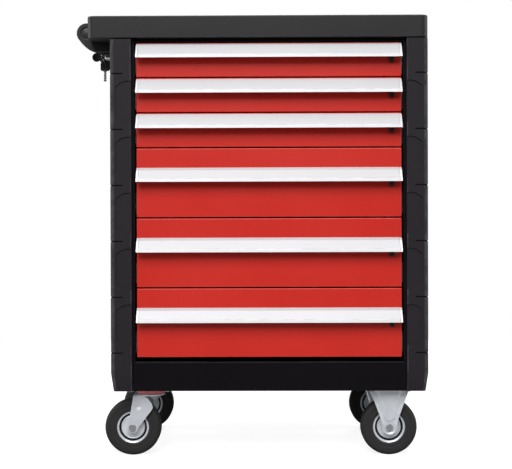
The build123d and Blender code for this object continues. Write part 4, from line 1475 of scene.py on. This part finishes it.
@dataclass
class Casters:
    """Two swivel casters on the left and two rigid ones on the right, with all their bolts."""

    ends: dict[str, float] = field(default_factory=lambda: {"front": -BODY.caster_y, "rear": BODY.caster_y})
    trail: float = 39.0
    plate: Pair = (105.0, 85.0)
    plate_z: Pair = (BODY.floor - 3.0, BODY.floor)
    crown_z: Pair = (133.0, 137.0)
    crown: float = 32.0
    seal: Triple = (137.3, 148.5, 30.5)
    head: float = 29.0
    king: float = 8.0
    king_z: Triple = (127.7, 128.9, 132.7)  # the king pin's foot, its bevel, its shoulder
    king_hole: float = 15.5
    bridge: Triple = (-37.0, 13.0, 25.5)  # ends from the king pin, half the width
    leg_ends: Pair = (16.0, 12.5)   # radius of a rigid and of a swivel leg at the axle
    dent: Quad = (14.0, 114.0, 3.4, 11.0)
    bolts: Pair = (80.0, 68.0)
    bolt_head: Pair = (6.5, 5.3)
    axle_head: Pair = (8.5, 4.0)
    axle_reach: float = 25.5
    axle_z: float = 62.5
    rigid_flanks: tuple[Triple, ...] = ((70.0, -17.0, 17.0), (87.0, -21.5, 21.5), (150.0, -44.5, 44.5))
    swivel_flanks: tuple[Triple, ...] = (
        (69.5, -11.0, 18.5), (83.5, -7.5, 29.0), (98.0, -4.0, 40.0), (107.0, -2.5, 46.0), (116.0, -1.0, 43.5),
        (125.0, 0.5, 37.0), (133.0, 2.0, 27.0), (137.0, 2.0, 24.0))

    def hexagon(self, name: str, start: Vector, way: Sequence[float], radius: float, thick: float) -> Piece:
        """Model a hexagon head on its washer face.

        Args:
            name: Name of the piece.
            start: Where the head stands.
            way: The way it points.
            radius: Radius over the corners.
            thick: Height of the head.

        Returns:
            The head, not yet dressed.
        """
        way = Vector(way)
        nut = Bench.rod(name, start + way * 0.0006, way, thick - 0.6, radius, 6)
        Bench.press(nut, lambda middle, normal: normal.dot(way) > FACING, 1.2, -0.4)
        Bench.soften(nut, 0.5)
        disc = [(0.0, 0.0), (radius * 0.98, 0.0), (radius * 0.98, 0.5), (radius * 0.92, 0.7), (0.0, 0.7)]
        washer = Bench.lathe("washer", disc, start, way, 32)
        return Bench.join(name, [nut, Bench.shade(washer)])

    def axle(self, name: str, x: float, y: float) -> Piece:
        """Model an axle with a head outside each leg.

        Args:
            name: Name of the piece.
            x: Place of the axle.
            y: Middle of the wheel.

        Returns:
            The axle, not yet dressed.
        """
        radius, thick = self.axle_head
        front = self.hexagon(name, at(x, y - self.axle_reach, self.axle_z), (0, -1, 0), radius, thick)
        rear = Bench.mirror(front, "rear_head", 1, y)
        reach = self.axle_reach
        shaft = [(0, -reach), (5.5, -reach), (6.0, -reach + 0.5), (6.0, reach - 0.5), (5.5, reach), (0, reach)]
        pin = Bench.lathe("pin", shaft, at(x, y, self.axle_z), (0, 1, 0), 32)
        return Bench.join(name, [front, rear, Bench.shade(pin)])

    def legs(self, name: str, leg: Leg, y: float) -> list[Piece]:
        """Press both legs of a fork.

        Args:
            name: Name of the front leg.
            leg: The leg's sizes.
            y: Middle of the wheel.

        Returns:
            The front and the rear leg.
        """
        front = leg.build(name, y)
        Bench.cut(front, Bench.rod("axle_hole", at(leg.axle, y - 60, self.axle_z), (0, 1, 0), 60.0, 6.1, 32))
        Bench.shade(front, 50)
        return [front, Bench.mirror(front, "rear_leg", 1, y)]

    def top_plate(self, name: str, x: float, y: float) -> Piece:
        """Cut a caster's top plate with rounded corners.

        Args:
            name: Name of the piece.
            x: Middle of the plate.
            y: Middle of the plate.

        Returns:
            The plate, not yet dressed.
        """
        (length, width), (low, high) = self.plate, self.plate_z
        plate = Bench.block(name, at(x - length / 2, y - width / 2, low), at(x + length / 2, y + width / 2, high))
        Bench.round_edges(plate, lambda a, b: abs(a.z - b.z) > 0.002, 8.0, 5)
        return Bench.soften(plate, 0.6)

    def build_rigid(self) -> None:
        """Build the two rigid forks."""
        forks = []
        for end, y in self.ends.items():
            leg = Leg(BODY.caster_x, self.rigid_flanks, self.leg_ends[0])
            forks += [self.top_plate(f"plate_{end}", BODY.caster_x, y), *self.legs(f"leg_{end}", leg, y)]
        fit(Bench.join("rigid_fork_pair", forks), CARCASS, CASTER_ZINC, "rigid_forks")

    def build_swivel(self, end: str, y: float) -> None:
        """Build one swivel fork with its crown and axle.

        Args:
            end: Name of the cabinet's end.
            y: Middle of the wheel.
        """
        low, high = self.crown_z
        x, axle_x = -BODY.caster_x, -BODY.caster_x - self.trail
        leg = Leg(axle_x, self.swivel_flanks, self.leg_ends[1], lip=(1.0, 0.0), panel=(0.6, 0.0), dent=self.dent)
        edge, bore = self.crown, self.king + 0.05
        dish = [(bore, low), (edge - 4.0, low), (edge - 1.5, low + 0.4), (edge - 0.4, low + 1.4), (edge, high - 1.2),
                (edge - 0.8, high), (22.0, high), (20.0, high - 0.7), (bore, high - 0.7), (bore, low)]
        crown = Bench.lathe("crown", dish, at(x, y, 0), (0, 0, 1), 64)
        first, last, half = self.bridge
        bridge = Bench.block("bridge", at(x + first, y - half, low), at(x + last, y + half, high - 0.4))
        over = at(0, 0, low + 1).z
        Bench.round_edges(bridge, lambda a, b: a.z > over and b.z > over, 2.4, 3)
        Bench.cut(bridge, Bench.rod("king_hole", at(x, y, low - 9), (0, 0, 1), 30.0, self.king_hole, 48))
        Bench.soften(bridge, 0.5)
        fit(self.axle(f"swivel_axle_{end}", axle_x, y), f"swivel_{end}", BOLT, f"swivel_fork_{end}")
        parts = [Bench.shade(crown), bridge, *self.legs("leg", leg, y)]
        fit(Bench.join(f"swivel_fork_pressed_{end}", parts), f"swivel_{end}", CASTER_ZINC, f"swivel_fork_{end}")

    def build_mounts(self) -> None:
        """Build the swivel casters' plates with their heads and king pins, and the seals under them."""
        plates, seals = [], []
        x, (low, high, radius) = -BODY.caster_x, self.seal
        disc = [(0.0, high), (27.5, high), (self.head, high + 0.6), (self.head, high + 1.5), (0.0, high + 1.5)]
        foot, bevel, shoulder = self.king_z
        pin = [(0.0, foot), (10.5, foot), (12.0, bevel), (12.0, shoulder), (self.king, shoulder), (self.king, high),
               (0.0, high)]
        cuff = [(20.0, low), (29.0, low), (30.2, low + 0.8), (radius, low + 2.2), (radius - 0.4, high - 2.4),
                (radius - 1.6, high - 0.6), (radius - 3.0, high), (20.0, high), (20.0, low)]
        for end, y in self.ends.items():
            head = Bench.lathe("head", disc, at(x, y, 0), (0, 0, 1), 64)
            king = Bench.lathe("king", pin, at(x, y, 0), (0, 0, 1), 32)
            plates += [self.top_plate(f"swivel_plate_{end}", x, y), Bench.shade(head), Bench.shade(king)]
            ring = Bench.lathe(f"seal_{end}", cuff, at(x, y, 0), (0, 0, 1), 64)
            seals.append(Bench.shade(ring))
        fit(Bench.join("swivel_plate_pair", plates), CARCASS, CASTER_ZINC, "swivel_plates")
        fit(Bench.join("dust_seals", seals), CARCASS, SEAL, "swivel_seals")

    def build_bolts(self) -> None:
        """Model one plate bolt, copy it to all plates, and add the rigid casters' axles."""
        radius, thick = self.bolt_head
        under, over = self.plate_z[0], BODY.floor + 1.5
        head = self.hexagon("bolt", at(0, 0, under), (0, 0, -1), radius, thick)
        nut = self.hexagon("nut", at(0, 0, over), (0, 0, 1), radius, thick)
        stem = [(0.0, under), (4.0, under), (4.0, over), (0.0, over)]
        shank = Bench.lathe("shank", stem, at(0, 0, 0), (0, 0, 1), 24)
        bolt = Bench.join("bolt", [head, nut, Bench.shade(shank)])
        pieces = []
        along, across = self.bolts[0] / 2, self.bolts[1] / 2
        for end, y in self.ends.items():
            for x, dx, dy in product((-BODY.caster_x, BODY.caster_x), (-along, along), (-across, across)):
                pieces.append(Bench.copy(bolt, "bolt_copy", Vector((x + dx, y + dy, 0)) / 1000))
            pieces.append(self.axle(f"rigid_axle_{end}", BODY.caster_x, y))
        bpy.data.objects.remove(bolt)
        fit(Bench.join("caster_bolts", pieces), CARCASS, BOLT, "caster_fasteners")

    def build(self) -> None:
        """Build all four casters."""
        self.build_rigid()
        self.build_mounts()
        self.build_bolts()
        for end, y in self.ends.items():
            self.build_swivel(end, y)
            Wheel(end, "left", -BODY.caster_x - self.trail, y).build()
            Wheel(end, "right", BODY.caster_x, y).build()


@dataclass
class Stage:
    """Camera, level light, floor and white surroundings."""

    eye: Triple = (0.03256, -2.63337, 0.50754)
    lens: float = 77.566
    yaw: float = 0.4739
    pitch: float = -0.3677
    roll: float = -0.1718
    ambient: float = 0.035          # strength of the surroundings as a light
    floor_tones: Pair = (0.34, 0.37)
    floor_glow: float = 0.84        # the floor's own light, for the camera alone
    lamps: tuple = (                # name, place, aim, watts, side in metres
        ("key_light", (-0.7, -8.0, 8.0), (0.04, -0.2, 0.45), 1455.0, 7.0),
        ("left_fill", (-3.2, 0.0, 1.2), (0.0, 0.0, 0.6), 50.0, 1.8),
        ("right_fill", (3.2, 0.0, 1.2), (0.0, 0.0, 0.6), 45.0, 1.8),
        ("left_corner_fill", (-2.4, -3.0, 1.5), (-0.35, -0.2, 0.9), 9.0, 0.5),
        ("right_corner_fill", (2.4, -3.0, 1.5), (0.35, -0.2, 0.9), 4.0, 0.5),
        ("rear_fill", (0.4, 3.6, 2.6), (0.0, 0.0, 0.5), 90.0, 2.4))

    def build_camera(self) -> None:
        """Set the camera where the photograph was taken from."""
        camera = bpy.data.cameras.new("camera")
        camera.lens = self.lens
        camera.sensor_width = 36.0
        camera.clip_end = 200.0
        holder = bpy.data.objects.new("camera", camera)
        bpy.context.scene.collection.objects.link(holder)
        holder.matrix_world = (Matrix.Translation(self.eye) @ Matrix.Rotation(math.radians(self.yaw), 4, "Z")
                               @ Matrix.Rotation(math.radians(90.0 + self.pitch), 4, "X")
                               @ Matrix.Rotation(math.radians(self.roll), 4, "Z"))
        bpy.context.scene.camera = holder

    def build_lights(self) -> None:
        """Hang soft square lamps: a key light high in front, and fills at the sides, front corners and rear."""
        for name, place, aim, watts, size in self.lamps:
            light = bpy.data.lights.new(name, "AREA")
            light.energy = watts
            light.size = size
            holder = bpy.data.objects.new(name, light)
            bpy.context.scene.collection.objects.link(holder)
            way = Vector(aim) - Vector(place)
            holder.matrix_world = Matrix.Translation(place) @ way.to_track_quat("-Z", "Y").to_matrix().to_4x4()

    def build_world(self) -> None:
        """Make the surroundings white to the eye and dimmer as a light."""
        world = bpy.data.worlds.new("white_room")
        world.use_nodes = True
        wiring = Wiring(world.node_tree)
        seen = wiring.add("LightPath").outputs["Is Camera Ray"]
        strength = wiring.band(seen, 0.0, 1.0, self.ambient, 1.0)
        sky = world.node_tree.nodes["Background"]
        sky.inputs["Color"].default_value = (1.0, 1.0, 1.0, 1.0)
        world.node_tree.links.new(strength, sky.inputs["Strength"])
        bpy.context.scene.world = world

    def build_floor(self) -> None:
        """Lay a pale floor that keeps the shadow of the cabinet."""
        Bench.only()
        bpy.ops.mesh.primitive_circle_add(vertices=96, radius=2.6, fill_type="NGON", location=(0, -0.2, 0))
        floor = bpy.context.object
        floor.name = "floor"
        material = bpy.data.materials.new("pale_floor")
        material.use_nodes = True
        wiring = Wiring(material.node_tree)
        shader = material.node_tree.nodes["Principled BSDF"]
        place = wiring.add("TexCoord").outputs["Object"]
        haze = wiring.add("TexNoise", {"Vector": place, "Scale": 0.6, "Detail": 2.0}).outputs[0]
        dark, pale = ((tone, tone, tone, 1.0) for tone in self.floor_tones)
        tone = wiring.mix(wiring.band(haze, *NOISE), dark, pale)
        wiring.tree.links.new(tone, shader.inputs["Base Color"])
        shader.inputs["Roughness"].default_value = 0.9
        shader.inputs["Specular IOR Level"].default_value = 0.0
        shader.inputs["Emission Color"].default_value = (1.0, 1.0, 1.0, 1.0)
        camera = wiring.add("LightPath").outputs["Is Camera Ray"]
        wiring.tree.links.new(wiring.math("MULTIPLY", camera, self.floor_glow), shader.inputs["Emission Strength"])
        floor.data.materials.append(material)

    def build(self) -> None:
        """Set the whole stage."""
        self.build_camera()
        self.build_lights()
        self.build_world()
        self.build_floor()
        bpy.context.scene.view_settings.view_transform = "Standard"


def dress_nodes() -> None:
    """Give the nodes that keep their solids a finish."""
    finishes = {"left_side_panel": BLACK_STEEL, "right_side_panel": BLACK_STEEL, "back_panel": BLACK_STEEL,
                "top_frame": BLACK_STEEL, "slide_outer_rails": SLIDE_ZINC, "lock_bar": SLIDE_ZINC,
                "lock_plug": CHROME}
    finishes |= {f"slide_middle_{number}": SLIDE_ZINC for number in range(1, 7)}
    for name, finish in finishes.items():
        finish.dress(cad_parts[name])


def build_drawers() -> None:
    """Build the three shallow and the three deep drawers."""
    top = BODY.stack_top
    for number, (tall, drop, crest) in enumerate([SHALLOW] * 3 + [DEEP] * 3, 1):
        Drawer(number, top - tall, top, top - drop, crest).build()
        top -= tall


def build_lock() -> None:
    """Build the lock with its keys."""
    lock = Lock()
    lock.build_cylinder()
    lock.build_key()
    lock.build_ring()


def main() -> None:
    """Build the cabinet's looks and its stage."""
    logging.basicConfig(level=logging.INFO, format="%(name)s: %(message)s")
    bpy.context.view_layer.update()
    handle, carcass = PushHandle(), Carcass()
    Worktop().build()
    handle.build_ears()
    handle.build_grip()
    Bumpers().build()
    carcass.build_posts()
    carcass.build_base()
    build_drawers()
    build_lock()
    Casters().build()
    dress_nodes()
    Stage().build()


if __name__ == "__main__":
    main()
